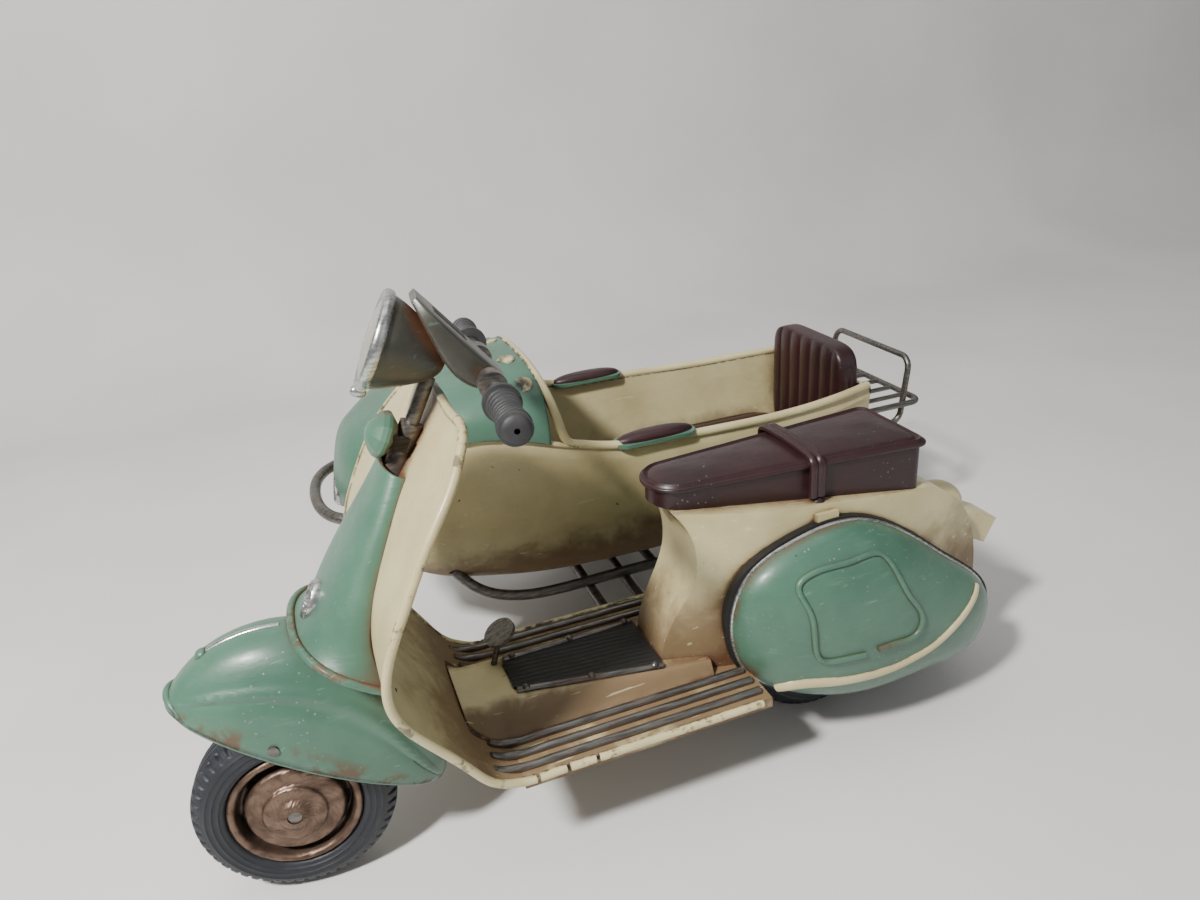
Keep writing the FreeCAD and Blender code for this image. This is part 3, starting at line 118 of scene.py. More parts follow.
def cubic(xs, ys, x):
    """Natural cubic spline through (xs, ys) at x: on each span the value is a cubic whose second
    derivatives, found from one linear system, meet at the stations and are zero at both ends."""
    xs = np.asarray(xs, float)
    ys = np.asarray(ys, float)
    if xs[0] > xs[-1]:
        xs, ys = xs[::-1], ys[::-1]
    h = np.diff(xs)
    n = len(xs)
    matrix = np.eye(n)
    right = np.zeros((n,) + ys.shape[1:])
    inner = np.arange(1, n - 1)
    matrix[inner, inner - 1] = h[:-1]
    matrix[inner, inner] = 2 * (h[:-1] + h[1:])
    matrix[inner, inner + 1] = h[1:]
    slope = np.diff(ys, axis=0) / h.reshape((-1,) + (1,) * (ys.ndim - 1))
    right[1:-1] = 6 * (slope[1:] - slope[:-1])
    second = np.linalg.solve(matrix, right.reshape(n, -1)).reshape(ys.shape)
    x = np.asarray(x, float)
    span = np.clip(np.searchsorted(xs, x) - 1, 0, n - 2)
    shape = x.shape + (1,) * (ys.ndim - 1)
    a = ((xs[span + 1] - x) / h[span]).reshape(shape)
    b = 1 - a
    width = h[span].reshape(shape)
    return (a * ys[span] + b * ys[span + 1]
            + ((a ** 3 - a) * second[span] + (b ** 3 - b) * second[span + 1]) * width ** 2 / 6)


def smooth_path(points, count, closed=False):
    """Evenly spread points on a cubic spline carried through points by chord length."""
    points = np.asarray(points, float)
    if closed:
        points = np.vstack([points[-3:], points, points[:4]])
    chord = run_length(points)
    first, last = (chord[3], chord[-4]) if closed else (0.0, chord[-1])
    dense = cubic(chord, points, np.linspace(first, last, count * 4 + 1))
    run = run_length(dense)
    places = np.linspace(0, run[-1], count + 1 if closed else count)
    path = np.stack([np.interp(places, run, column) for column in dense.T], axis=1)
    return path[:-1] if closed else path


def smooth_outline(points, count, closed=False):
    """The same for a flat line, of two columns."""
    return smooth_path(np.column_stack([points, np.zeros(len(points))]), count, closed)[:, :2]


def patch(points, wrap_rows=False, wrap_columns=False, cap=False, flip=False):
    """Quads over a grid of points, rows by columns, with each face's UV from its place in the grid.
    A cap closes the first and the last row with a fan to its middle."""
    rows, columns = points.shape[:2]
    verts = points.reshape(-1, 3)
    last_row = rows if wrap_rows else rows - 1
    last_column = columns if wrap_columns else columns - 1
    i, j = np.meshgrid(np.arange(last_row), np.arange(last_column), indexing="ij")
    i2, j2 = (i + 1) % rows, (j + 1) % columns
    corners = [i * columns + j, i2 * columns + j, i2 * columns + j2, i * columns + j2]
    quads = np.stack(corners, -1).reshape(-1, 4)
    u = np.stack([i, i + 1, i + 1, i], -1).reshape(-1, 4) / last_row
    v = np.stack([j, j, j + 1, j + 1], -1).reshape(-1, 4) / last_column
    uvs = np.stack([u, v], -1)
    faces, maps = quads.tolist(), uvs.tolist()
    if cap:
        for row, edge in ((0, 0.0), (rows - 1, 1.0)):
            middle = len(verts)
            verts = np.vstack([verts, points[row].mean(axis=0)])
            start = row * columns + np.arange(last_column)
            end = row * columns + (np.arange(last_column) + 1) % columns
            tips = np.full(last_column, middle)
            fan = np.stack([start, end, tips] if row == 0 else [end, start, tips], -1)
            faces += fan.tolist()
            maps += [[[edge, 0.0], [edge, 0.0], [edge, 0.0]]] * last_column
    if flip:
        faces = [face[::-1] for face in faces]
        maps = [uv[::-1] for uv in maps]
    return verts, faces, maps


def border(points):
    """The points round the edge of a grid, once round."""
    return np.vstack([points[:, 0], points[-1, 1:], points[::-1, -1][1:], points[0, ::-1][1:-1]])


def slab(upper, base):
    """Two grids and the wall that joins their borders."""
    return [patch(upper), patch(base, flip=True),
            patch(np.stack([border(upper), border(base)]), wrap_columns=True)]


def tube(path, radius, sides, across, closed=False, squash=1.0):
    """Round rod: a circle of the radius carried along the path, square to its direction.  Its
    corners are counted from the direction across, and squash flattens it along that direction."""
    ahead = np.roll(path, -1, axis=0) - np.roll(path, 1, axis=0)
    if not closed:
        ahead[0] = path[1] - path[0]
        ahead[-1] = path[-1] - path[-2]
    ahead = unit(ahead)
    side = unit(np.cross(ahead, across))
    rise = np.cross(side, ahead)
    angle = circle(sides)
    radius = np.broadcast_to(radius, len(path))[:, None, None]
    ring = side[:, None] * np.cos(angle)[:, None] + rise[:, None] * np.sin(angle)[:, None] * squash
    return patch(path[:, None] + ring * radius, wrap_rows=closed, wrap_columns=True, cap=not closed)


def lathe(profile, centre, axis, steps, relief=None, closed=False):
    """Turned form: profile rows are (radius, distance along the axis), carried round the axis.
    Relief returns how far the radius and the distance change at each row and angle."""
    side = unit(np.cross(axis, UPWARD))
    other = np.cross(axis, side)
    angle = circle(steps)
    radius = np.broadcast_to(profile[:, :1], (len(profile), steps)).copy()
    along = np.broadcast_to(profile[:, 1:], (len(profile), steps)).copy()
    if relief is not None:
        more_radius, more_along = relief(radius, along, angle[None, :])
        radius = radius + more_radius
        along = along + more_along
    points = (centre + along[..., None] * axis
              + radius[..., None] * (np.cos(angle)[:, None] * side + np.sin(angle)[:, None] * other))
    return patch(points, wrap_rows=closed, wrap_columns=True)


def piece(name, patches, finish, replaces=(), body="scooter", sheet=0.0, smooth=35.0):
    """One object from patches.  Doubles are merged and a solid's faces turned outwards; an open
    sheet is given its thickness inwards instead.  Pieces of the steering and of the front wheel
    are turned with the column."""
    turned = body in ("steering", "front_wheel")
    verts, faces, maps, start = [], [], [], 0
    for points, quads, uvs in patches:
        verts.append(steered(points) if turned else points)
        faces += [[index + start for index in face] for face in quads]
        maps += uvs
        start += len(points)
    mesh = bpy.data.meshes.new(name)
    mesh.from_pydata((np.vstack(verts) * MM + SHIFT).tolist(), [], faces)
    layer = mesh.uv_layers.new(name="UVMap")
    layer.data.foreach_set("uv", np.array([uv for corners in maps for uv in corners], np.float32).ravel())
    work = bmesh.new()
    work.from_mesh(mesh)
    bmesh.ops.remove_doubles(work, verts=work.verts, dist=2e-6)
    bmesh.ops.dissolve_degenerate(work, edges=work.edges, dist=1e-6)
    if not sheet:
        bmesh.ops.recalc_face_normals(work, faces=work.faces)
    work.to_mesh(mesh)
    work.free()
    mesh.shade_smooth()
    mesh.set_sharp_from_angle(angle=math.radians(smooth))
    obj = bpy.data.objects.new(name, mesh)
    bpy.context.scene.collection.objects.link(obj)
    mesh.materials.append(finish)
    if sheet:
        wall = obj.modifiers.new("wall", "SOLIDIFY")
        wall.thickness = sheet * MM
        wall.offset = -1.0
    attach(obj, body)
    if replaces:
        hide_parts(*replaces)
    return obj


# ---------------------------------------------------------------- finishes
def shade(red, green, blue):
    """Display colour, 0 to 255, as the linear colour that shaders use."""
    values = np.array([red, green, blue]) / 255.0
    linear = np.where(values <= 0.04045, values / 12.92, ((values + 0.055) / 1.055) ** 2.4)
    return (*linear.tolist(), 1.0)


class Value:
    """A number that varies over a surface.  Arithmetic on it adds Math nodes."""

    def __init__(self, finish, socket):
        self.finish = finish
        self.socket = socket

    def __add__(self, other):
        return self.finish.maths("ADD", self, other)

    def __sub__(self, other):
        return self.finish.maths("SUBTRACT", self, other)

    def __rsub__(self, other):
        return self.finish.maths("SUBTRACT", other, self)

    def __mul__(self, other):
        return self.finish.maths("MULTIPLY", self, other)

    __radd__ = __add__
    __rmul__ = __mul__

    def most(self, other):
        return self.finish.maths("MAXIMUM", self, other)

    def size(self):
        return self.finish.maths("ABSOLUTE", self)

    def step(self, low, high):
        """Smooth rise from 0 at low to 1 at high, or a fall where low is the greater."""
        settings = {"interpolation_type": "SMOOTHSTEP"}
        lift = (0.0, 1.0) if low < high else (1.0, 0.0)
        values = {0: self, 1: min(low, high), 2: max(low, high), 3: lift[0], 4: lift[1]}
        return self.finish.node("MapRange", settings, values).value(0)


class Added:
    """A node that a finish has added, for picking its outputs."""

    def __init__(self, finish, made):
        self.finish = finish
        self.made = made

    def value(self, output):
        return Value(self.finish, self.made.outputs[output])

    def link(self, output):
        return self.made.outputs[output]


class Finish:
    """A node material on Object coordinates."""

    def __init__(self, name):
        self.material = bpy.data.materials.new(name)
        self.material.use_nodes = True
        self.tree = self.material.node_tree
        self.tree.nodes.clear()
        self.coordinates = self.node("TexCoord", {}, {})
        self.place = self.coordinates.link("Object")

    def node(self, kind, settings, inputs):
        made = self.tree.nodes.new("ShaderNode" + kind)
        for key, setting in settings.items():
            setattr(made, key, setting)
        for key, given in inputs.items():
            given = given.socket if isinstance(given, Value) else given
            if isinstance(given, bpy.types.NodeSocket):
                self.tree.links.new(given, made.inputs[key])
            else:
                made.inputs[key].default_value = given
        return Added(self, made)

    def maths(self, operation, *numbers):
        return self.node("Math", {"operation": operation}, dict(enumerate(numbers))).value(0)

    def moved(self, scale=(1.0, 1.0, 1.0), turn=(0.0, 0.0, 0.0)):
        return self.node("Mapping", {}, {"Vector": self.place, "Rotation": turn, "Scale": scale}).link(0)

    def noise(self, scale, detail=4.0, rough=0.55, stretch=None, turn=(0.0, 0.0, 0.0), warp=0.0):
        where = self.moved(stretch, turn) if stretch else self.place
        values = {"Vector": where, "Scale": scale, "Detail": detail, "Roughness": rough, "Distortion": warp}
        return self.node("TexNoise", {}, values).value(0)

    def cells(self, scale):
        values = {"Vector": self.place, "Scale": scale}
        return self.node("TexVoronoi", {"feature": "F1"}, values).value("Distance")

    def shelter(self, reach, inside=False):
        """0 in the open, rising where other surfaces close in within reach millimetres."""
        settings = {"samples": 6, "inside": inside}
        return 1 - self.node("AmbientOcclusion", settings, {"Distance": reach * MM}).value("AO")

    def axes(self):
        parts = self.node("SeparateXYZ", {}, {0: self.place})
        return parts.value(0), parts.value(1), parts.value(2)

    def grid(self):
        parts = self.node("SeparateXYZ", {}, {0: self.coordinates.link("UV")})
        return parts.value(0), parts.value(1)

    def mix(self, share, first, second):
        settings = {"data_type": "RGBA", "blend_type": "MIX", "clamp_factor": True}
        return self.node("Mix", settings, {0: share, 6: first, 7: second}).link(2)

    def bump(self, height, depth, strength):
        values = {"Height": height, "Distance": depth * MM, "Strength": strength}
        return self.node("Bump", {}, values).link(0)

    def done(self, colour, rough, normal=None, metal=0.0, coat=0.0, coat_rough=0.2):
        values = {"Base Color": colour, "Roughness": rough, "Metallic": metal, "Coat Weight": coat,
                  "Coat Roughness": coat_rough}
        if normal is not None:
            values["Normal"] = normal
        shader = self.node("BsdfPrincipled", {}, values)
        self.node("OutputMaterial", {}, {"Surface": shader.link(0)})
        return self.material


RUST_AND_SHADE = shade(92, 58, 34)
SOOT = shade(38, 28, 22)
BARE = shade(150, 140, 126)


def enamel(name, colour, shadow, pale, stain=RUST_AND_SHADE, age=1.0, wear=1.0, gloss=0.38, coat=0.15, extra=None):
    """Hand-brushed enamel on tinplate: cloudy colour, brown patina where dirt gathers, painted shade
    where an extra mask adds it, dark worn edges with bare flecks, small chips and fine scratches."""
    f = Finish(name)
    cloud = f.noise(38, 4.0, 0.6)
    blot = f.noise(130, 6.0, 0.62, warp=0.4)
    grain = f.noise(520, 5.0, 0.6)
    brush = f.noise(60, 5.0, 0.65, stretch=(2.0, 9.0, 14.0), turn=(0.3, 0.5, 0.2))
    tone = f.mix(cloud.step(0.3, 0.7), colour, shadow)
    tone = f.mix(brush.step(0.55, 0.8) * 0.35, tone, pale)
    dirt = (f.shelter(9.0).step(0.24, 0.80) * (blot * 1.5 + 0.1)).step(0.12, 0.55) * age
    speckle = blot.step(0.60, 0.76) * grain.step(0.5, 0.72) * 0.45 * age
    dirt = dirt.most(speckle)
    # Extra masks add to the dirt here, and some of them are painted shade, mixed in the stain colour below.
    if extra is not None:
        dirt = dirt.most(extra(f, blot, grain))
    tone = f.mix(dirt * 0.85, tone, stain)
    rim = f.shelter(0.55, inside=True).step(0.42, 0.72) * (grain + blot).step(0.82, 1.10) * wear
    tone = f.mix(rim * 0.9, tone, SOOT)
    chip = f.noise(420, 3.0, 0.5, warp=0.8).step(0.735, 0.755) * blot.step(0.42, 0.55) * wear
    tone = f.mix(chip, tone, SOOT)
    fleck = f.cells(620).step(0.16, 0.10) * cloud.step(0.52, 0.66) * wear * 0.8
    tone = f.mix(fleck, tone, BARE)
    scratch = f.noise(26, 2.0, 0.5, stretch=(3.0, 60.0, 22.0), turn=(0.4, 0.9, 0.3)).step(0.70, 0.715)
    tone = f.mix(scratch * 0.45 * wear, tone, pale)
    rough = dirt * 0.34 + grain * 0.16 + rim * 0.2 + (gloss - 0.06)
    height = brush * 0.55 + grain * 0.30 + cloud * 0.5 - chip * 0.9 - rim * 0.25 - fleck * 0.2
    normal = f.bump(height, 0.22, 0.55)
    return f.done(tone, rough, normal, coat=coat, coat_rough=0.22)


def bare_metal(name, colour, deep, rough=0.38, metal=0.9, age=1.0):
    """Dull plated or bare steel with brown patina in its recesses and a fine brushed grain."""
    f = Finish(name)
    blot = f.noise(160, 6.0, 0.62, warp=0.5)
    grain = f.noise(900, 4.0, 0.6)
    streak = f.noise(140, 4.0, 0.6, stretch=(1.0, 10.0, 10.0))
    tone = f.mix(streak.step(0.35, 0.7), colour, deep)
    dirt = (f.shelter(5.0).step(0.35, 0.9) * 0.8 + blot.step(0.52, 0.72) * 0.6) * age
    tone = f.mix(dirt * 0.8, tone, RUST_AND_SHADE)
    pit = f.cells(900).step(0.14, 0.08) * blot.step(0.45, 0.6)
    tone = f.mix(pit * 0.8, tone, SOOT)
    height = grain * 0.35 + blot * 0.5 - pit
    return f.done(tone, grain * 0.22 + dirt * 0.3 + (rough - 0.1), f.bump(height, 0.16, 0.6),
                  metal=(1 - dirt * 0.7) * metal)


def rubber(name, colour, worn, gloss=0.55):
    """Aged rubber: dusty grey where it rubs, with a fine grain."""
    f = Finish(name)
    blot = f.noise(150, 5.0, 0.6)
    grain = f.noise(1400, 3.0, 0.6)
    dust = blot.step(0.45, 0.8) * 0.5
    tone = f.mix(dust, colour, worn)
    tone = f.mix(f.shelter(3.0).step(0.4, 0.9) * 0.5, tone, shade(58, 46, 38))
    return f.done(tone, blot * 0.2 + (gloss - 0.1), f.bump(grain * 0.6 + blot * 0.6, 0.12, 0.6))


GREEN = (shade(76, 114, 94), shade(62, 98, 81), shade(104, 140, 120))
CREAM = (shade(206, 195, 150), shade(184, 171, 126), shade(220, 212, 172))
MAROON = (shade(46, 15, 19), shade(32, 11, 15), shade(66, 32, 35))

green = enamel("green_enamel", *GREEN)
cream = enamel("cream_enamel", *CREAM)
maroon = enamel("maroon_enamel", *MAROON, stain=shade(44, 22, 20), age=0.7, wear=0.55, gloss=0.40,
                coat=0.08)
grey_green = enamel("grey_green_enamel", shade(66, 66, 58), shade(46, 43, 38), shade(82, 108, 90),
                    age=1.3)


def floor_stain(f, blot, grain):
    """Brown stain spread over the floor, with the enamel showing through in patches."""
    return (blot * 0.9 + f.noise(48, 5.0, 0.6) * 0.8).step(0.48, 0.86) * 0.97


def hull_band(f, blot, grain):
    """Rust brown that fades upwards from the hull's keel."""
    x, y, z = f.axes()
    keel = z * 1000 - (blot - 0.5) * 16.0 - (f.noise(35, 3.0, 0.5) - 0.5) * 10.0
    return keel.step(48.0, 36.0) * 0.97


def low_stain_and_shade(f, blot, grain):
    """Brown patina and painted shade that deepen towards the floor, in drifts."""
    x, y, z = f.axes()
    drift = z * 1000 - (blot - 0.5) * 22.0 - (f.noise(42, 4.0, 0.6) - 0.5) * 26.0
    return drift.step(60.0, 38.0) * 0.92


def flank_stain(f, blot, grain):
    """Brown along the tunnel's flanks, down to their foot."""
    u, v = f.grid()
    flank = (v - 0.5).size() + (blot - 0.5) * 0.25
    return flank.step(0.22, 0.36) * 0.95


floor_brown = enamel("floor_enamel", *CREAM, extra=floor_stain)
# Patina with painted shade towards the floor, for the legshield and the rear body.
stained_shaded_cream = enamel("stained_shaded_cream", *CREAM, age=1.3, extra=low_stain_and_shade)
hull_cream = enamel("hull_enamel", *CREAM, extra=hull_band)
steel = bare_metal("dull_steel", shade(122, 119, 114), shade(84, 81, 77))
dark_steel = bare_metal("dark_steel", shade(60, 54, 48), shade(40, 36, 32), rough=0.5)
plated = bare_metal("worn_plating", shade(196, 198, 196), shade(150, 152, 150), rough=0.26, age=0.6)
tyre_black = rubber("tyre_black", shade(26, 29, 36), shade(50, 53, 60))
grip_black = rubber("grip_black", shade(40, 40, 42), shade(70, 68, 67))
mat_black = rubber("mat_black", shade(20, 19, 19), shade(38, 35, 32), gloss=0.6)


def bronze_finish():
    """Copper-bronze wheel metal with black in its recesses."""
    f = Finish("bronze_wheel")
    blot = f.noise(190, 6.0, 0.62, warp=0.6)
    grain = f.noise(1000, 4.0, 0.6)
    tone = f.mix(blot.step(0.35, 0.68), shade(122, 101, 87), shade(84, 67, 56))
    dirt = f.shelter(3.0).step(0.30, 0.75)
    tone = f.mix(dirt * 0.9, tone, shade(28, 20, 17))
    tone = f.mix(f.cells(700).step(0.16, 0.1) * 0.6, tone, shade(70, 46, 36))
    return f.done(tone, grain * 0.2 + blot * 0.15 + 0.26, f.bump(grain * 0.5 + blot, 0.14, 0.7),
                  metal=(1 - dirt) * 0.75 + 0.1)


def glass_finish(name, colour, tint):
    """Clouded lamp glass over a dark reflector, faintly ribbed."""
    f = Finish(name)
    blot = f.noise(120, 5.0, 0.6)
    ribs = f.noise(260, 2.0, 0.5, stretch=(1.0, 3.0, 0.3))
    tone = f.mix(blot.step(0.4, 0.75), colour, tint)
    return f.done(tone, blot * 0.3 + 0.11, f.bump(ribs + blot, 0.2, 0.4), coat=0.6, coat_rough=0.08,
                  metal=blot.step(0.7, 0.4) * 0.35)


bronze = bronze_finish()
lamp_glass = glass_finish("lamp_glass", shade(168, 166, 156), shade(98, 90, 78))
red_glass = glass_finish("red_lamp_glass", shade(96, 26, 22), shade(58, 14, 14))


# ---------------------------------------------------------------- wheels
RIM_RADIUS = 14.4
TYRE_NOTCHES = 52
RIM_SLOTS = 5


def tyre_patch(centre, width):
    """Tyre section carried round the axle: raised rings on the sidewalls, three grooves round the
    tread and short notches across its shoulders, each a smooth step in the radius or the width."""
    half = width / 2
    side = [(RIM_RADIUS, -half + 1.3), (15.0, -half + 0.35), (16.2, -half + 0.05), (18.6, -half + 0.1),
            (20.2, -half + 0.75), (21.2, -half + 1.6), (21.75, -half + 2.6), (22.0, -half + 3.6)]
    full = np.array(side + [(22.0, 0.0)] + [(r, -a) for r, a in side[::-1]])
    profile = smooth_outline(full, 110)

    def relief(radius, along, angle):
        wall = np.abs(along) > half - 1.2
        ring = sum(ridge(radius, place, 0.22) for place in (15.9, 17.3, 18.7))
        push = np.where(wall, 0.28 * ring, 0.0) * np.sign(along)
        groove = sum(ridge(along, place * half, 0.28) for place in (-0.34, 0.0, 0.34))
        tread = np.clip((radius - 21.3) / 0.5, 0, 1)
        notch = 1 / (1 + np.exp(-14 * (np.sin(angle * TYRE_NOTCHES) - 0.35)))
        shoulder = np.clip((np.abs(along) - half * 0.48) / 0.5, 0, 1)
        shoulder = shoulder * np.clip((radius - 19.6) / 0.8, 0, 1)
        return -0.65 * groove * tread - 0.55 * notch * shoulder, push

    seat = np.array([(RIM_RADIUS, half - 1.3), (RIM_RADIUS, -half + 1.3)])
    return [lathe(profile, centre, LEFT, 312, relief), lathe(seat, centre, LEFT, 312)]


def disc_patch(centre, width, out):
    """Wheel disc: rolled rim, deep ring-shaped channel with five dark slots, stepped drum and hub."""
    half = width / 2
    face = np.array([
        (14.38, half - 1.6), (14.3, half - 0.7), (13.7, half - 0.15), (13.0, half - 0.35), (12.5, half - 1.2),
        (12.1, half - 2.7), (11.6, half - 3.1), (11.1, half - 2.9), (10.7, half - 1.4), (10.2, half - 0.6),
        (9.2, half - 0.3), (7.6, half - 0.15), (7.0, half + 0.2), (6.7, half + 0.75), (5.4, half + 1.05),
        (4.2, half + 1.2), (3.5, half + 1.7), (2.9, half + 2.15), (1.6, half + 2.3)])
    profile = smooth_outline(face, 120)
    back = np.array([(1.6, -half + 0.6), (10.8, -half + 0.6), (11.8, -half + 3.0), (12.2, -half + 3.0),
                     (13.1, -half + 0.2), (14.38, -half + 1.2)])
    whole = np.vstack([profile, back])

    def relief(radius, along, angle):
        front = along > 0
        channel = ridge(radius, 11.7, 0.55) * front
        slot = 1 / (1 + np.exp(-12 * (np.sin(angle * RIM_SLOTS) - 0.1)))
        dents = 0.05 * np.sin(angle * 23 + radius * 5) * np.sin(angle * 7) * front
        return np.zeros_like(radius + angle), -1.1 * channel * slot + dents

    return [lathe(whole, centre, LEFT * out, 240, relief, closed=True)]


front_centre = np.array([0.0, 0.0, WHEEL_RADIUS])
for wheel, centre, width, out in (("front", front_centre, 12.0, 1), ("rear", REAR_WHEEL, 10.0, 1),
                                  ("sidecar", SIDECAR_WHEEL, 10.0, -1)):
    piece(wheel + "_tyre_tread", tyre_patch(centre, width), tyre_black,
          (wheel + "_tyre",), wheel + "_wheel")
    piece(wheel + "_wheel_face", disc_patch(centre, width, out), bronze,
          (wheel + "_wheel_disc",), wheel + "_wheel")


# ---------------------------------------------------------------- mudguard
GUARD_FRONT = np.array([19.5, 0.0, 53.2])
GUARD_REAR = np.array([-32.0, 0.0, 20.3])
guard_run = GUARD_REAR - GUARD_FRONT
GUARD_LENGTH = np.linalg.norm(guard_run)
guard_run /= GUARD_LENGTH
guard_rise = np.array([guard_run[2], 0.0, -guard_run[0]])


def guard_points(share, angle, out=0.0):
    """Hood over the wheel: arches on its straight lower edge.  Their half width follows a power of
    the sine of the place along the edge and their height a power of a sine that peaks forward.  A
    crease, one bell curve less another, runs along each side."""
    share, angle = np.broadcast_arrays(share, angle)
    half = 12.0 * np.sin(math.pi * share) ** 0.38 + out
    tall = 25.0 * np.sin(math.pi * share ** 0.8) ** 0.6 + out
    sway, rise = arch(angle, 0.75)
    crest = 0.34 + 0.30 * np.sin(math.pi * np.clip((share - 0.04) / 0.92, 0, 1)) ** 0.7
    crease = 0.55 * ridge(rise, crest, 0.045) - 0.35 * ridge(rise, crest - 0.10, 0.06)
    crease = crease * np.clip(np.sin(math.pi * share) * 3, 0, 1)
    half = half + crease
    place = GUARD_FRONT + guard_run * (GUARD_LENGTH * share)[..., None]
    return place + LEFT * (half * sway)[..., None] + guard_rise * (tall * rise)[..., None]


def guard_shade_and_stain(f, blot, grain):
    """Dark brushed band over the rear of the hood, painted shade under the column cover's lip, and dark
    stains in patches along its lower edges.
    """
    u, v = f.grid()
    # The band is painted shade where the cover's lip overhangs the hood.
    band = u.step(0.50, 0.60) * u.step(0.80, 0.66) * (v - 0.5).size().step(0.36, 0.16)
    edge = (v - 0.5).size().step(0.452, 0.492)
    band_streaks = f.noise(70, 5.0, 0.65, stretch=(1.0, 7.0, 1.0))
    return (band * band_streaks.step(0.42, 0.62) * 0.85).most(edge * blot.step(0.45, 0.6) * 0.9)


# The hood carries painted shade under the cover's lip.
guard_green = enamel("mudguard_enamel", *GREEN, extra=guard_shade_and_stain)
share = (np.sin((np.linspace(0.0, 1.0, 150) - 0.5) * math.pi) * 0.5 + 0.5) * 0.996 + 0.002
angle = np.linspace(0.0, math.pi, 97)
piece("mudguard_hood", [patch(guard_points(share[:, None], angle[None, :]), flip=True)],
      guard_green, ("mudguard",), "steering", sheet=0.9)
edge_share = np.linspace(0.004, 0.996, 60)
left_edge = guard_points(edge_share, np.zeros(60))
right_edge = guard_points(edge_share[::-1], np.full(60, math.pi))
front_curl = ridge(np.concatenate([edge_share, edge_share[::-1]]), 0.0, 0.05)[:, None]
bead_path = np.vstack([left_edge, right_edge]) + front_curl * (guard_rise * 1.6 - guard_run * 0.9)
bead_path = smooth_path(bead_path, 200, closed=True)
piece("mudguard_bead", [tube(bead_path, 0.85, 14, guard_rise, closed=True)], guard_green,
      body="steering")
crest_share = np.linspace(0.045, 0.235, 40)
crest = guard_points(crest_share, np.full(40, math.pi / 2), 0.5)
piece("mudguard_crest", [tube(crest, 1.0 - 0.25 * np.linspace(0, 1, 40), 16, LEFT)],
      plated, ("mudguard_strip",), "steering")
knob = np.array([(0.001, -1.7), (0.9, -1.5), (1.5, -0.8), (1.7, 0.0), (1.5, 0.8), (0.9, 1.5), (0.001, 1.7)])
piece("mudguard_bead_knob", [lathe(smooth_outline(knob, 24), crest[0], LEFT, 32)], green,
      body="steering")

# ---------------------------------------------------------------- legshield, cover and floor edge
SHIELD = np.array([(-45.4, 22.0, 109.0), (-41.6, 28.0, 103.0), (-35.4, 32.2, 95.0), (-28.4, 34.0, 82.5),
                   (-23.4, 33.6, 70.0), (-23.2, 32.4, 61.0), (-27.6, 30.6, 51.5), (-36.0, 28.6, 38.8),
                   (-41.5, 27.4, 31.6), (-47.0, 26.4, 29.0)])
FLOOR_TOP = 29.5
FLOOR_HALF = 26.4
SHIELD_FOOT_X = -47.0
left_run = smooth_path(SHIELD, 120)
floor_side = np.array([(SHIELD_FOOT_X - step, FLOOR_HALF, 28.9) for step in np.linspace(2.0, 58.0, 24)])
top_run = np.array([(SHIELD[0, 0], side, SHIELD[0, 2]) for side in np.linspace(-21.0, 21.0, 16)])
edge_line = np.vstack([(floor_side * MIRROR)[::-1], (left_run * MIRROR)[::-1], top_run, left_run,
                       floor_side])
edge_line = smooth_path(edge_line[::3], 420)
piece("shield_edge", [tube(edge_line, 0.95, 12, np.array([1.0, 0.001, 0.002]))],
      enamel("edge_enamel", *CREAM, stain=SOOT,
             extra=lambda f, blot, grain: (blot + grain).step(1.08, 1.22) * 0.8))

shield_middle = SHIELD[:7] * [1, 0, 1] - COLUMN_FOOT
shield_along, shield_front = shield_middle @ UP, shield_middle @ FORWARD
COVER = np.array([(-5.8, 20.5, 9.2), (-3.0, 18.4, 7.6), (3.0, 16.2, 6.6), (14.0, 13.2, 5.7),
                  (26.0, 9.8, 4.2), (33.5, 7.2, 3.7)])


def cover_points(along, angle, out=0.0):
    """Tapering cover: arches that stand on the shield, with the half width and the reach in front
    of the column from splines through the stations."""
    along, angle = np.broadcast_arrays(along, angle)
    half = cubic(COVER[:, 0], COVER[:, 1], along) + out
    front = cubic(COVER[:, 0], COVER[:, 2], along) + out
    back = cubic(shield_along, shield_front, along) + 0.3
    sway, rise = arch(angle, 0.8)
    return on_column(along, back + (front - back) * rise, half * sway)


along = np.linspace(COVER[0, 0], COVER[-1, 0], 90)
piece("cover_shell", [patch(cover_points(along[:, None], angle[None, :]))], green,
      ("column_cover",), sheet=0.8)
lip = cover_points(np.full(80, COVER[0, 0]), np.linspace(0.0, math.pi, 80), 0.3)
piece("cover_lip", [tube(lip, 0.9, 12, UP)],
      enamel("lip_enamel", *GREEN, age=1.3, wear=1.6,
             extra=lambda f, blot, grain: (blot + grain).step(0.98, 1.15) * 0.8))


def badge_patch():
    """Oval plate: a low dome on an oval, beaten by crossing waves that die out at its rim."""
    radial = np.linspace(0.0, 1.0, 40)[:, None]
    around = circle(72)[None, :]
    side = 3.7 * radial * np.cos(around)
    tall = 4.7 * radial * np.sin(around)
    beaten = 0.28 * np.sin(side * 3.1 + 0.6) * np.sin(tall * 2.7)
    beaten = beaten + 0.12 * np.sin(side * 6.1 + tall * 4.3)
    dome = 1.2 * np.sqrt(np.clip(1 - radial ** 2, 0, 1)) + beaten * (1 - radial ** 4)
    rim = 0.35 * ridge(radial, 0.9, 0.06)
    front = on_column(tall, 7.0 + dome + rim, side)
    back = on_column(tall, np.full_like(dome, 6.2), side)
    return [patch(front, wrap_columns=True), patch(back[::-1], wrap_columns=True),
            patch(np.stack([front[-1], back[-1]]), wrap_columns=True)]


piece("badge_plate", badge_patch(), plated, ("badge",))

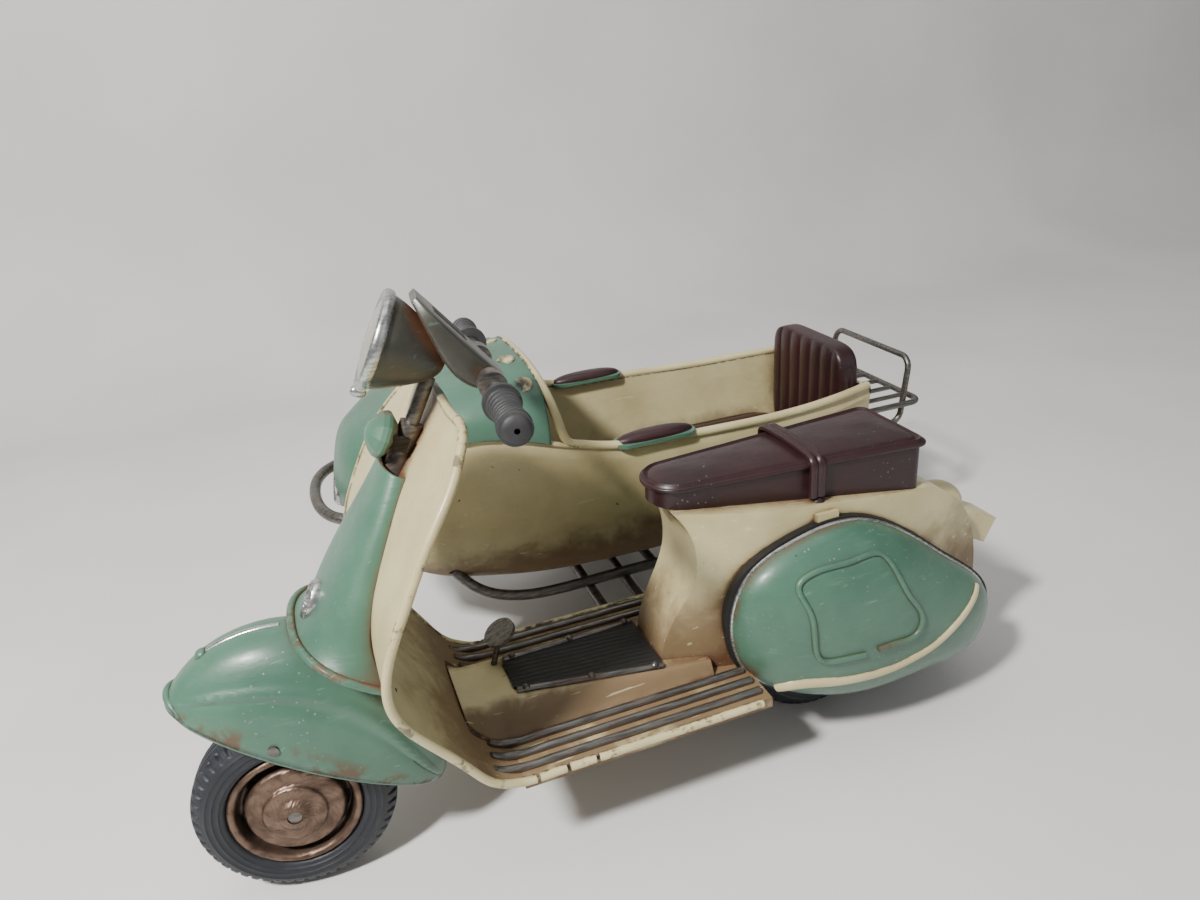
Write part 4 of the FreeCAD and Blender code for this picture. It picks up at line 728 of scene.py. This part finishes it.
horn_profile = np.array([(0.001, -1.4), (3.2, -1.4), (4.9, 0.2), (5.0, 0.9), (4.6, 1.9), (3.6, 2.9),
                         (2.2, 3.8), (1.0, 4.2), (0.001, 4.25)])
HORN_SIDES = 10
piece("horn_dome", [lathe(horn_profile, on_column(39.0, 4.0, 0.0), FORWARD, HORN_SIDES)],
      green, ("horn",), smooth=18.0)


# ---------------------------------------------------------------- bars and headlamp
BAR = on_column(58.2, -10.0, 0.0)
LAMP_TILT = math.radians(27.0)
LAMP_FORWARD = np.array([math.cos(LAMP_TILT), 0.0, math.sin(LAMP_TILT)])
LAMP = np.array([-35.6, 0.0, 121.6])
LAMP_ACROSS = np.cross(LAMP_FORWARD, LEFT)
GRIP_LENGTH = 17.0
GRIP_START = 24.0


def grip_patch(side):
    """Grip: a turned sleeve whose radius swells and carries evenly spaced rings."""
    along = np.linspace(0.0, GRIP_LENGTH, 130)
    radius = 2.75 + 0.25 * np.cos(along / GRIP_LENGTH * 2 * math.pi)
    radius += 0.22 * (np.sin(along * 2 * math.pi / 1.7) > 0) * (along > 2.2) * (along < 15.4)
    radius = np.where(along < 1.4, 3.6, radius)
    tip = 2.6 * np.sqrt(np.clip(1 - ((along - 16.0) / 1.02) ** 2, 0, 1))
    radius = np.where(along > 16.0, tip, radius)
    radius[0] = 1.8
    return lathe(np.column_stack([radius, along]), BAR + LEFT * GRIP_START * side, LEFT * side, 48)


for side, hand in SIDES:
    piece(hand + "_grip", [grip_patch(side)], grip_black, ("grips",) if side == 1 else (),
          "steering")

bucket = np.array([(0.001, -13.2), (1.8, -13.0), (3.4, -12.0), (5.0, -10.0), (6.6, -7.2), (8.0, -4.4),
                   (9.1, -1.8), (9.6, 0.0), (8.7, 0.0), (8.0, -1.6), (0.001, -2.0)])
piece("lamp_shell", [lathe(smooth_outline(bucket[:8], 60), LAMP, LAMP_FORWARD, 96),
                     lathe(bucket[7:], LAMP, LAMP_FORWARD, 96)], grey_green,
      ("headlamp_bucket",), "steering")
turn = circle(28)
ring = np.column_stack([9.5 + 0.95 * np.cos(turn), 0.9 + 1.25 * np.sin(turn)])
lug = LAMP + LAMP_FORWARD * 0.9 - LAMP_ACROSS * 10.8
lug_profile = np.array([(0.001, -1.6), (0.8, -1.4), (1.15, -0.6), (1.15, 0.6), (0.8, 1.4), (0.001, 1.6)])
piece("lamp_ring", [lathe(ring, LAMP, LAMP_FORWARD, 120, closed=True),
                    lathe(smooth_outline(lug_profile, 20), lug, LAMP_FORWARD, 28)], plated,
      ("headlamp_rim",), "steering")


def lens_patch():
    """Lens: a shallow dome with upright flutes across it that fade towards the rim."""
    radial = np.linspace(0.0, 1.0, 50)[:, None]
    around = circle(120)[None, :]
    reach = 8.9 * radial
    flute = 0.10 * np.sin(reach * np.cos(around) * 3.2) * (1 - radial ** 6)
    rise = 0.7 + 2.1 * np.sqrt(np.clip(1 - (radial * 0.96) ** 2, 0, 1)) + flute
    points = (LAMP + rise[..., None] * LAMP_FORWARD + (reach * np.cos(around))[..., None] * LEFT
              + (reach * np.sin(around))[..., None] * LAMP_ACROSS)
    flat = LAMP + 0.4 * LAMP_FORWARD + (points[-1] - LAMP - rise[-1][:, None] * LAMP_FORWARD)
    centre = np.broadcast_to(LAMP + 0.4 * LAMP_FORWARD, flat.shape)
    return [patch(points, wrap_columns=True),
            patch(np.stack([points[-1], flat, centre]), wrap_columns=True)]


piece("lamp_lens", lens_patch(), lamp_glass, ("headlamp_lens",), "steering")


def nacelle_patch():
    """Wedge over the column: a rounded box section carried down a sloping line, with its width and
    its thickness from splines along the line."""
    top, foot = np.array([-43.9, 0.0, 130.2]), np.array([-58.4, 0.0, 112.4])
    down = unit(foot - top)
    face = np.array([-down[2], 0.0, down[0]])
    stations = np.array([0.0, 0.12, 0.35, 0.6, 0.85, 1.0])
    width = np.array([5.6, 7.2, 7.9, 7.4, 6.0, 4.6])
    thick = np.array([1.6, 2.6, 4.6, 6.4, 6.2, 4.6])
    place = np.linspace(0.0, 1.0, 70)
    wide, deep = cubic(stations, width, place), cubic(stations, thick, place)
    around = circle(72)
    sway, rise = blunt(np.cos(around), 0.35), blunt(np.sin(around), 0.35)
    line = top + (foot - top) * place[:, None]
    middle = line + face * (deep / 2)[:, None]
    points = (middle[:, None] + LEFT * (wide[:, None] * sway)[..., None]
              + face * (deep[:, None] / 2 * rise)[..., None])
    return [patch(points, wrap_columns=True, cap=True)], line, face


wedge, wedge_line, wedge_face = nacelle_patch()
piece("nacelle_wedge", wedge, grey_green, ("nacelle",), "steering")
# A black sheet sunk in the wedge's face stands for the shade inside its slot: painted shade.
slot_line = wedge_line[14:40]
slot_across = np.linspace(-3.0, 3.0, 10)[None, :, None] * LEFT
slot_top = slot_line[:, None] + slot_across - wedge_face * 0.12
piece("nacelle_slot_shade", slab(slot_top, slot_top + wedge_face * 0.5), mat_black,
      body="steering")

# ---------------------------------------------------------------- floor
rail_fronts = np.array([(SHIELD_FOOT_X, 29.9), (-44.2, 30.5), (-42.2, 32.0)])
for index in range(3):
    for side, hand in SIDES:
        y = (15.0 + 4.1 * index) * side
        flat = np.array([(x, y, FLOOR_TOP + 0.35) for x in np.linspace(-106.0, -48.5, 12)])
        curl = np.array([(x + 0.5 * index, y, z + 0.3) for x, z in rail_fronts])
        path = smooth_path(np.vstack([flat, curl]), 90)
        taper = 1.05 - 0.35 * np.clip(np.linspace(-12.0, 1.0, 90), 0, 1) ** 2
        piece("floor_rail_%s_%d" % (hand, index + 1), [tube(path, taper, 12, LEFT)],
              steel, ("floor_rails",) if index == 0 and side == 1 else ())

TUNNEL_FRONT_X, TUNNEL_REAR_X = -47.2, -99.0
TUNNEL_HEIGHT, TUNNEL_FALL = 7.1, 3.4
TUNNEL_FOOT_HALF = 14.2
MAT_FRONT_X, MAT_REAR_X = -51.3, -87.4
MAT_FRONT_HALF, MAT_WIDEN = 5.2, 4.0
RIB_PITCH = 1.5


def tunnel_share(x):
    """0 at the tunnel's front, 1 at its rear."""
    return (x - TUNNEL_FRONT_X) / (TUNNEL_REAR_X - TUNNEL_FRONT_X)


def tunnel_top(x):
    """Height of the tunnel's top face at x."""
    return FLOOR_TOP + TUNNEL_HEIGHT - TUNNEL_FALL * tunnel_share(x)


def mat_patch():
    """Mat: a widening strip with faint ribs along it and a slight sag, rounded at its edges."""
    x = np.linspace(MAT_FRONT_X, MAT_REAR_X, 200)[:, None]
    across = np.linspace(-1.0, 1.0, 60)[None, :]
    half = MAT_FRONT_HALF + MAT_WIDEN * (x - MAT_FRONT_X) / (MAT_REAR_X - MAT_FRONT_X)
    rib = 0.06 * np.sin(across * half * 2 * math.pi / RIB_PITCH)
    sag = 0.10 * np.sin(x * 0.31 + 1.0) * np.cos(across * 2.0)
    inside = np.clip((0.98 - np.abs(across)) / 0.08, 0, 1)
    z = tunnel_top(x) + 0.55 + (0.12 + rib + sag) * inside
    return slab(grid(x, across * half, z), grid(x, across * half, tunnel_top(x)))


piece("tunnel_mat_ribbed", mat_patch(), mat_black, ("tunnel_mat",))


def tunnel_patch():
    """Raised floor centre: its top widens to the rear and its flanks fall to the floor as a smooth
    step.  In front it rises with the shield's foot, whose inside it meets."""
    x = np.linspace(-38.6, TUNNEL_REAR_X, 120)[:, None]
    y = np.linspace(-1.0, 1.0, 90)[None, :] * TUNNEL_FOOT_HALF
    top_half = 7.4 + 4.1 * np.clip(tunnel_share(x), 0, 1)
    fall = np.clip((np.abs(y) - top_half) / (TUNNEL_FOOT_HALF - top_half), 0, 1)
    foot = np.maximum(FLOOR_TOP, np.interp(-x, [36.0, 41.5, 47.0], [38.8, 31.6, 29.0]) + 0.3)
    crest = tunnel_top(np.minimum(x, TUNNEL_FRONT_X))
    flank = 1 - fall * fall * (3 - 2 * fall)
    top = np.maximum(foot + 0.02, foot + np.maximum(crest - foot, 0.0) * flank)
    return slab(grid(x, y, top), grid(x, y, foot - 0.25))


piece("tunnel_hump", tunnel_patch(),
      enamel("tunnel_enamel", *CREAM, age=1.5, extra=flank_stain), ("tunnel",))

# ---------------------------------------------------------------- cowls
COWL = np.array([(-103.2, 42.0), (-107.5, 56.0), (-120.0, 62.6), (-136.0, 64.0), (-150.0, 57.6),
                 (-166.0, 45.0), (-179.5, 29.0), (-176.0, 18.6), (-160.0, 14.2), (-140.0, 13.5),
                 (-120.0, 19.4), (-107.5, 29.0)])
COWL_MIDDLE = np.array([-140.0, 38.0])
COWL_BASE = 14.8
COWL_BULGE = 12.0
outline = smooth_outline(COWL, 160, closed=True)


def cowl_dome(reach):
    """How far the cowl stands out at a reach from 0, its middle, to 1, its edge."""
    return COWL_BASE + COWL_BULGE * np.clip(1 - reach ** 2, 0, 1) ** (1 / 2.2)


def cowl_patch(side):
    """Cowl: its outline drawn in towards its middle, row by row, on a rounded dome."""
    reach = np.sin(np.linspace(0.0, math.pi / 2, 60))[:, None]
    flat = COWL_MIDDLE + (outline - COWL_MIDDLE)[None] * reach[..., None]
    y = np.broadcast_to(cowl_dome(reach), flat.shape[:2]) * side
    return patch(np.stack([flat[..., 0], y, flat[..., 1]], -1), wrap_columns=True, flip=side > 0)


def on_cowl(points, side, out):
    """Places on the dome for flat (x, z) points: each one's reach is its distance from the middle
    over the outline's distance in the same direction."""
    rel = points - COWL_MIDDLE
    bearing = np.arctan2(rel[:, 1], rel[:, 0])
    edge = outline - COWL_MIDDLE
    edge_bearing = np.arctan2(edge[:, 1], edge[:, 0])
    order = np.argsort(edge_bearing)
    edge_reach = np.linalg.norm(edge, axis=1)
    limit = np.interp(bearing, edge_bearing[order], edge_reach[order], period=2 * math.pi)
    reach = np.clip(np.linalg.norm(rel, axis=1) / limit, 0, 0.999)
    y = (cowl_dome(reach) + out) * side
    return np.column_stack([points[:, 0], y, points[:, 1]])


def cowl_edge_shade(f, blot, grain):
    """Painted shade: brown darkening in patches along the cowl's edge, where its dome turns down to the body.
    """
    u, v = f.grid()
    return u.step(0.86, 0.99) * blot.step(0.38, 0.6) * 0.9


# The cowls carry painted shade along their edges.
cowl_green = enamel("cowl_enamel", *GREEN, extra=cowl_edge_shade)
TRIM = np.array([(-133.0, 33.5), (-127.0, 33.7), (-121.5, 34.8), (-119.6, 40.0), (-118.0, 50.0),
                 (-116.6, 55.4), (-120.0, 57.4), (-130.0, 58.4), (-138.6, 58.0), (-142.0, 53.0),
                 (-146.0, 45.0), (-149.2, 38.2), (-147.6, 34.9), (-142.0, 34.2), (-136.5, 34.0)])
MOULDING = np.array([(-113.0, 25.5), (-117.0, 27.2), (-124.0, 26.6), (-134.0, 25.4), (-145.0, 25.8),
                     (-156.0, 29.4), (-166.0, 35.0), (-171.5, 38.0)])
for side, hand in SIDES:
    piece("cowl_%s_panel" % hand, [cowl_patch(side)], cowl_green, ("cowl_" + hand,),
          sheet=0.8)
    ring = grid(outline[:, 0], (COWL_BASE + 0.1) * side, outline[:, 1])
    # The left edge, which faces the light, is bright plating as a painted highlight; the right edge, in
    # shade, is dark steel.
    piece("cowl_%s_edge" % hand, [tube(ring, 0.55, 10, LEFT, closed=True)],
          dark_steel if side < 0 else plated)
    wire = on_cowl(smooth_outline(TRIM, 150), side, 0.25)
    piece("cowl_%s_wire" % hand, [tube(wire, 0.72, 12, LEFT)], cowl_green,
          ("cowl_trims",) if side == 1 else ())
    band = on_cowl(smooth_outline(MOULDING, 120), side, 0.1)
    swell = 1.05 + 0.65 * np.linspace(1, 0, 120) ** 2
    piece("cowl_%s_band" % hand, [tube(band, swell, 14, LEFT, squash=0.6)], cream,
          ("cowl_mouldings",) if side == 1 else ())

# ---------------------------------------------------------------- seat
SEAT_TOP = 79.8
SEAT_FRONT_X, SEAT_REAR_X = -89.5, -157.5
SEAT_NOSE_HALF, SEAT_REAR_HALF = 7.0, 12.4
STRAP_X = -127.8
STRAP_HALF = 2.1


def seat_outline(grow):
    """Plan of the seat: a half circle at the nose, straight flaring sides, rounded rear corners."""
    nose, rear = SEAT_NOSE_HALF + grow, SEAT_REAR_HALF + grow
    front_x, rear_x, corner = SEAT_FRONT_X + grow, SEAT_REAR_X - grow, 2.6
    shoulder = front_x - nose * 0.9
    arc = np.linspace(-math.pi / 2, math.pi / 2, 40)
    nose_arc = np.column_stack([shoulder + (front_x - shoulder) * np.cos(arc), nose * np.sin(arc)])
    turn = np.linspace(math.pi / 2, math.pi, 12)
    left_corner = np.column_stack([rear_x + corner + corner * np.cos(turn),
                                   rear - corner + corner * np.sin(turn)])
    right_corner = left_corner[::-1] * [1, -1]
    line = np.vstack([nose_arc, left_corner, right_corner, nose_arc[:1]])
    run = run_length(line)
    places = np.linspace(0, run[-1], 240, endpoint=False)
    return np.column_stack([np.interp(places, run, line[:, axis]) for axis in (0, 1)])


def seat_plate():
    """Seat plate: its plan drawn in towards a line down the middle, on a low crown that dips inside
    a rolled rim."""
    plan = seat_outline(0.8)
    spine = np.column_stack([np.clip(plan[:, 0], -150.0, -97.0), np.zeros(len(plan))])
    share = np.linspace(0.0, 1.0, 70)[:, None]
    flat = spine[None] + (plan - spine)[None] * share[..., None]
    crown = 1.25 * (1 - share ** 2.2)
    rim = 0.45 * ridge(share, 0.93, 0.035)
    dip = -0.35 * ridge(share, 0.84, 0.04)
    worn = 0.12 * np.sin(flat[..., 0] * 0.35) * np.sin(flat[..., 1] * 0.5)
    top = SEAT_TOP - 0.75 + crown + rim + dip + worn * (1 - share)
    z = np.broadcast_to(top, flat.shape[:2])
    upper = np.dstack([flat, z])
    roll = np.linspace(0, math.pi, 10)[:, None]
    edge = plan[None] + unit(plan - spine)[None] * (0.35 * np.sin(roll))[..., None]
    edge_z = SEAT_TOP - 0.75 - 0.55 * (1 - np.cos(roll)) + 0.06
    side = np.dstack([edge, np.broadcast_to(edge_z, edge.shape[:2])])
    under = np.dstack([flat[::-1], np.full(flat.shape[:2], SEAT_TOP - 1.85)])
    return [patch(np.vstack([upper, side, under]), wrap_columns=True)]


piece("seat_plate", seat_plate(), maroon, ("seat_top",))


def strap_patch():
    """Strap: a section with two round ridges, carried over the seat and down both sides."""
    half, drop, top = 11.7, 9.0, SEAT_TOP + 0.2
    corner = np.linspace(0, math.pi / 2, 10)
    right = np.array([(-half - 0.1, top - drop), (-half - 0.1, top - 2.0)])
    bend = np.column_stack([-half + 1.4 - 1.5 * np.cos(corner), top - 1.4 + 1.9 * np.sin(corner)])
    across = np.linspace(-half + 2.0, half - 2.0, 24)
    over = np.column_stack([across, top + 0.5 + 0.75 * np.cos(across / half * math.pi / 2)])
    line = np.vstack([right, bend, over, (bend * [-1, 1])[::-1], (right * [-1, 1])[::-1]])
    path = smooth_path(np.column_stack([np.full(len(line), STRAP_X), line]), 150)
    x = np.array([1.0, 0.0, 0.0])
    outward = np.cross(unit(np.gradient(path, axis=0)), x)
    inwards = (outward * (path - np.array([STRAP_X, 0.0, top - 6.0]))).sum(1) < 0
    outward[inwards] *= -1
    place = np.linspace(-STRAP_HALF, STRAP_HALF, 40)
    height = 0.35 + 0.55 * np.abs(np.sin((place / STRAP_HALF + 1) * math.pi)) ** 0.7
    height[[0, -1]] = 0.0
    upper = path[:, None] + place[None, :, None] * x + height[None, :, None] * outward[:, None]
    under = path[:, None] + place[None, ::-1, None] * x - 0.25 * outward[:, None]
    return [patch(np.concatenate([upper, under], axis=1), wrap_columns=True, cap=True)]


piece("seat_band", strap_patch(), maroon, ("seat_strap",))

# ---------------------------------------------------------------- sidecar
CAR_Y = -75.0
CAR_HALF_WIDTH = 30.0
CAR_NOSE_X, DECK_REAR_X, CAR_TAIL_X = -24.0, -80.0, -190.0
CAR_WALL = 1.4
# Stations along the sidecar: x, share of the half width, keel, crease and crown.
CAR = np.array([(-24.0, 0.18, 52.0, 57.0, 64.0), (-26.0, 0.36, 45.0, 58.5, 71.5),
                (-31.0, 0.56, 39.0, 63.0, 79.0), (-42.0, 0.78, 33.0, 72.0, 85.5),
                (-57.0, 0.92, 28.6, 77.5, 89.5), (-80.0, 1.00, 25.4, 73.2, 91.8),
                (-95.0, 1.00, 24.6, 68.6, 90.0), (-125.0, 1.00, 24.4, 66.0, 88.0),
                (-155.0, 0.96, 26.5, 65.2, 88.0), (-180.0, 0.86, 32.5, 66.0, 88.0),
                (-190.0, 0.78, 36.5, 66.5, 88.0)])


def car_at(x):
    """Half width, keel, crease and crown of the sidecar at x."""
    values = cubic(CAR[:, 0], CAR[:, 1:], x)
    return CAR_HALF_WIDTH * values[..., 0], values[..., 1], values[..., 2], values[..., 3]


def nose_spread(last):
    """Places along the sidecar, packed closer at its nose."""
    return CAR_NOSE_X + (last - CAR_NOSE_X) * np.linspace(0.0, 1.0, 130) ** 1.6


def hull_points(x, angle, inset=0.0):
    """Hull: below its crease each section is a rounded trough, a power of the sine deep and the
    same power of the cosine wide, with a swaged bead below the crease."""
    half, keel, crease, crown = car_at(x)
    sway, rise = arch(angle, 0.45)
    swage = 0.55 * ridge((crease - keel) * rise, 3.4, 0.9) * np.clip((-30.0 - x) / 8.0, 0, 1)
    half = half - inset + swage * (inset == 0)
    return grid(x, CAR_Y + half * sway, crease - (crease - keel - inset) * rise)


def tail_board(edge):
    """Upright board from a hull section's curved edge to a level line at the rim's height."""
    return np.stack([edge, edge * [1, 1, 0] + [0, 0, CAR[-1, 3]]])


places = nose_spread(CAR_TAIL_X)
fine = np.concatenate([[0, 0.0004, 0.002, 0.006, 0.014], np.linspace(0.03, math.pi / 2, 44)])
fine = np.concatenate([fine, math.pi - fine[::-1][1:]])
outer = hull_points(places[:, None], fine[None, :])
inner_places = np.clip(places, CAR_TAIL_X + CAR_WALL, CAR_NOSE_X - 3.0)
inner = hull_points(inner_places[:, None], fine[None, :], CAR_WALL)
nose_cap = np.stack([outer[0], np.broadcast_to(outer[0].mean(0), outer[0].shape)])
tail_cap, inner_tail = tail_board(outer[-1]), tail_board(inner[-1])
rims = [np.stack(pair) for pair in ((outer[:, 0], inner[:, 0]), (outer[:, -1], inner[:, -1]),
                                    (tail_cap[1], inner_tail[1]))]
piece("hull_shell", [patch(outer), patch(inner, flip=True)]
      + [patch(points) for points in [nose_cap, tail_cap, inner_tail] + rims], hull_cream,
      ("sidecar_hull",))


def deck_points(x, angle):
    """Nose deck: each section is an arch on the crease line, a power of the sine high."""
    half, keel, crease, crown = car_at(x)
    sway, rise = arch(angle, 0.72)
    return grid(x, CAR_Y + half * sway, crease + (crown - crease) * rise)


deck_places = nose_spread(DECK_REAR_X)
deck = deck_points(deck_places[:, None], fine[None, :])
deck_tip = np.broadcast_to(deck[0].mean(0), deck[:1].shape)
piece("deck_shell", [patch(np.vstack([deck_tip, deck]), flip=True)], green,
      ("sidecar_deck",), sheet=1.2)
crease_x = nose_spread(DECK_REAR_X - 8.0)
half, keel, crease, crown = car_at(crease_x)
for side, hand in SIDES:
    line = np.column_stack([crease_x, CAR_Y + (half + 0.1) * side, crease])
    piece("crease_bead_" + hand, [tube(line, 0.75, 10, UPWARD)], cream)


def coaming_path():
    """Cockpit edge: forward along the left of the hull, over the deck's arch and back along the
    right."""
    side_x = np.linspace(CAR_TAIL_X + 1.0, DECK_REAR_X - 6.0, 40)
    half, keel, crease, crown = car_at(side_x)
    left_side = np.column_stack([side_x, CAR_Y + half - 0.3, crease + 0.6])
    half, keel, crease, crown = car_at(np.array(DECK_REAR_X))
    sway, rise = arch(np.linspace(0.12, math.pi - 0.12, 40), 0.72)
    over = grid(DECK_REAR_X - 4.0 * (1 - rise), CAR_Y + half * sway, crease + (crown - crease) * rise + 0.4)
    return smooth_path(np.vstack([left_side, over, (left_side * MIRROR + [0, 2 * CAR_Y, 0])[::-1]]), 360)


piece("cockpit_edge", [tube(coaming_path(), 1.3, 14, np.array([0.02, 0.0, 1.0]))],
      enamel("coaming_enamel", *CREAM, wear=1.5), ("sidecar_coaming",))


def cushion_patch(low, high, pleats, depth):
    """Upholstered pad: a box whose sides follow a blunt superellipse, its top crowned and sewn into
    pleats that run front to back."""
    low, high = np.array(low), np.array(high)
    middle, size = (low + high) / 2, (high - low) / 2
    u = np.linspace(-math.pi / 2, math.pi / 2, 60)[:, None]
    v = circle(160)[None, :]
    power = 0.28
    x = blunt(np.cos(u), power) * blunt(np.cos(v), power)
    y = blunt(np.cos(u), power) * blunt(np.sin(v), power)
    z = blunt(np.sin(u), power)
    pleat = depth * np.abs(np.sin(y * math.pi * pleats / 2)) ** 0.5 - depth
    return middle + grid(x * size[0], y * size[1], z * size[2] + np.clip(z, 0, 1) ** 3 * pleat)


cushion = cushion_patch((-178.0, -96.0, 34.0), (-118.0, -54.0, 47.6), 7, 1.0)
piece("cockpit_cushion", [patch(cushion, wrap_columns=True)], maroon,
      ("sidecar_cushion",))


def back_patch():
    """Ribbed seat back: a rounded board with upright rolls across its front and a rolled top."""
    across = np.linspace(-1.0, 1.0, 150)[:, None]
    around = circle(90)[None, :]
    half, low_z, high_z, deep = 21.0, 42.0, 79.0, 4.4
    rolls = 7
    edge = np.clip(1 - np.abs(across) ** 7, 0, 1) ** (1 / 2.4)
    up, out = blunt(np.sin(around), 0.3), blunt(np.cos(around), 0.3)
    roll = 0.9 * (np.abs(np.cos(across * math.pi * rolls / 2)) ** 0.6 - 1)
    roll = roll * (out > 0.3) * (np.abs(up) < 0.97)
    tall = (high_z - low_z) / 2
    z = (low_z + high_z) / 2 + up * tall * (0.25 + 0.75 * edge ** 0.6) - (tall * 0.1) * (1 - edge)
    x = -184.0 + out * deep * edge ** 0.5 + roll * edge
    return [patch(grid(x, CAR_Y + across * half, z), wrap_columns=True, cap=True)]


piece("cockpit_seat_back", back_patch(), maroon, ("sidecar_seat_back",))


def arm_pad(side):
    """Armrest: a long oval pad whose height is a blunt power of the distance from its edge."""
    radial = np.linspace(0.0, 1.0, 36)[:, None]
    around = circle(100)[None, :]
    x = -111.5 + 12.0 * radial * blunt(np.cos(around), 0.8)
    y = CAR_Y + 29.0 * side + 3.2 * radial * np.sin(around)
    top = grid(x, y, 68.7 + 2.1 * np.clip(1 - radial ** 3, 0, 1) ** 0.5)
    return patch(np.vstack([top, grid(x, y, 68.4)[::-1]]), wrap_columns=True)


for side, hand in SIDES:
    piece("arm_pad_" + hand, [arm_pad(side)], maroon, ("armrest_pads",) if side == 1 else ())

# ---------------------------------------------------------------- rods of the sidecar
ROD_RADIUS = 1.6
BUMPER_Z = 59.0
hoop_half = grid(*np.array([(-38.6, 17.9), (-31.0, 20.8), (-25.5, 20.6), (-20.6, 16.6), (-17.6, 9.6),
                            (-16.7, 3.0)]).T, BUMPER_Z)
hoop_line = np.vstack([hoop_half, (hoop_half * MIRROR)[::-1]]) + [0.0, CAR_Y, 0.0]
piece("bumper_rod", [tube(smooth_path(hoop_line, 160), ROD_RADIUS, 18, UPWARD)], steel,
      ("bumper_hoop",))
rail_line = np.array([(-49.5, 21.4, 36.5), (-56.0, 22.4, 28.6), (-66.0, 23.4, 24.0), (-84.0, 24.0, 22.5),
                      (-120.0, 24.0, 22.3), (-156.0, 23.9, 22.6), (-171.0, 22.6, 28.4), (-180.0, 21.2, 37.2)])
for side, hand in SIDES:
    line = smooth_path(rail_line * [1, side, 1] + [0.0, CAR_Y, 0.0], 200)
    piece("hull_rail_" + hand, [tube(line, ROD_RADIUS, 18, LEFT)], steel,
          ("frame_rail",) if side == 1 else ())

# ---------------------------------------------------------------- finishes on the kept frame pieces
KEPT = {
    steel: ("fork", "handlebar", "mudguard_bolts", "mat_rails", "mat_rivets", "head_tube", "brake_pedal",
            "rear_axle", "cross_rods", "luggage_rack", "rack_hoop", "sidecar_axle"),
    dark_steel: ("horn_bracket",),
    plated: ("nose_lamp_bezel",),
    # The legshield and the rear body carry painted shade towards the floor.
    stained_shaded_cream: ("legshield", "rear_body"),
    cream: ("seat_brackets", "tail_dome", "tail_lamp_housing", "deck_buttons"),
    floor_brown: ("floorboard",),
    maroon: ("seat_base", "strap_studs"),
    green: ("armrest_bases",),
    mat_black: ("cowl_seals",),
    lamp_glass: ("nose_lamp_lens",),
    red_glass: ("tail_lamp_lens",),
}
for finish, names in KEPT.items():
    for name in names:
        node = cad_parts[name]
        for place in node.material_slots:
            place.material = finish
        if not node.material_slots:
            node.data.materials.append(finish)

# ---------------------------------------------------------------- floor, light and camera
stage_finish = Finish("studio_white")
paper = stage_finish.noise(9, 3.0, 0.5)
paper_tone = stage_finish.mix(paper.step(0.3, 0.7), shade(222, 221, 218), shade(214, 213, 211))
stage_material = stage_finish.done(paper_tone, 0.62)
SWEEP_FRONT, SWEEP_BEND, SWEEP_RADIUS = 1.6, -0.30, 0.12
bend = np.linspace(0, SWEEP_RADIUS, 14)
sweep_rear = SWEEP_BEND - SWEEP_RADIUS
sweep_y = np.concatenate([[SWEEP_FRONT], SWEEP_BEND - bend, [sweep_rear, sweep_rear]])
curve = SWEEP_RADIUS - np.sqrt(np.clip(SWEEP_RADIUS ** 2 - bend ** 2, 0, 1))
lift = np.concatenate([[0.0], curve, [0.6, 2.2]])
verts, faces, _ = patch(grid(np.linspace(-2.4, 2.4, 9)[None, :], sweep_y[:, None], lift[:, None]))
mesh = bpy.data.meshes.new("studio_sweep")
mesh.from_pydata(verts.tolist(), [], faces)
mesh.shade_smooth()
mesh.materials.append(stage_material)
sweep = bpy.data.objects.new("studio_sweep", mesh)
bpy.context.scene.collection.objects.link(sweep)


def area_light(name, place, target, size, power, colour=(1.0, 1.0, 1.0)):
    """Square lamp at a place in metres, turned towards its target."""
    light = bpy.data.lights.new(name, "AREA")
    light.energy = power
    light.size = size
    light.color = colour
    obj = bpy.data.objects.new(name, light)
    bpy.context.scene.collection.objects.link(obj)
    obj.location = place
    obj.rotation_euler = (Vector(target) - Vector(place)).to_track_quat("-Z", "Y").to_euler()


key_place = Vector((np.array([258.0, 212.0, 503.0]) * MM + SHIFT).tolist())
area_light("key", key_place, Vector((-0.01, 0.0, 0.05)), 0.055, 6.4, (1.0, 0.98, 0.95))
area_light("fill", (-0.5, 0.9, 0.6), (0.0, 0.0, 0.05), 0.9, 1.8, (0.95, 0.97, 1.0))
area_light("top", (0.0, -0.1, 1.2), (0.0, 0.0, 0.0), 1.0, 4.5)
world = bpy.data.worlds.new("studio")
world.use_nodes = True
world.node_tree.nodes["Background"].inputs[0].default_value = (0.86, 0.88, 0.9, 1.0)
world.node_tree.nodes["Background"].inputs[1].default_value = 0.21
bpy.context.scene.world = world

YAW, PITCH, ROLL = math.radians(-109.06), math.radians(24.10), math.radians(-4.38)
ahead = np.array([math.cos(YAW) * math.cos(PITCH), math.sin(YAW) * math.cos(PITCH), -math.sin(PITCH)])
right = np.array([math.sin(YAW), -math.cos(YAW), 0.0])
above = np.cross(right, ahead)
right_rolled = math.cos(ROLL) * right + math.sin(ROLL) * above
above_rolled = -math.sin(ROLL) * right + math.cos(ROLL) * above
eye = np.array([-20.9, 167.3, 168.5]) * MM + SHIFT
FOCAL, PICTURE_WIDTH, SENSOR = 871.4, 1200.0, 36.0
camera = bpy.data.cameras.new("camera")
camera.sensor_width = SENSOR
camera.lens = FOCAL / PICTURE_WIDTH * SENSOR
camera.clip_start = 0.005
camera_obj = bpy.data.objects.new("camera", camera)
bpy.context.scene.collection.objects.link(camera_obj)
pose = np.eye(4)
pose[:3] = np.column_stack([right_rolled, above_rolled, -ahead, eye])
camera_obj.matrix_world = Matrix(pose.tolist())
bpy.context.scene.camera = camera_obj
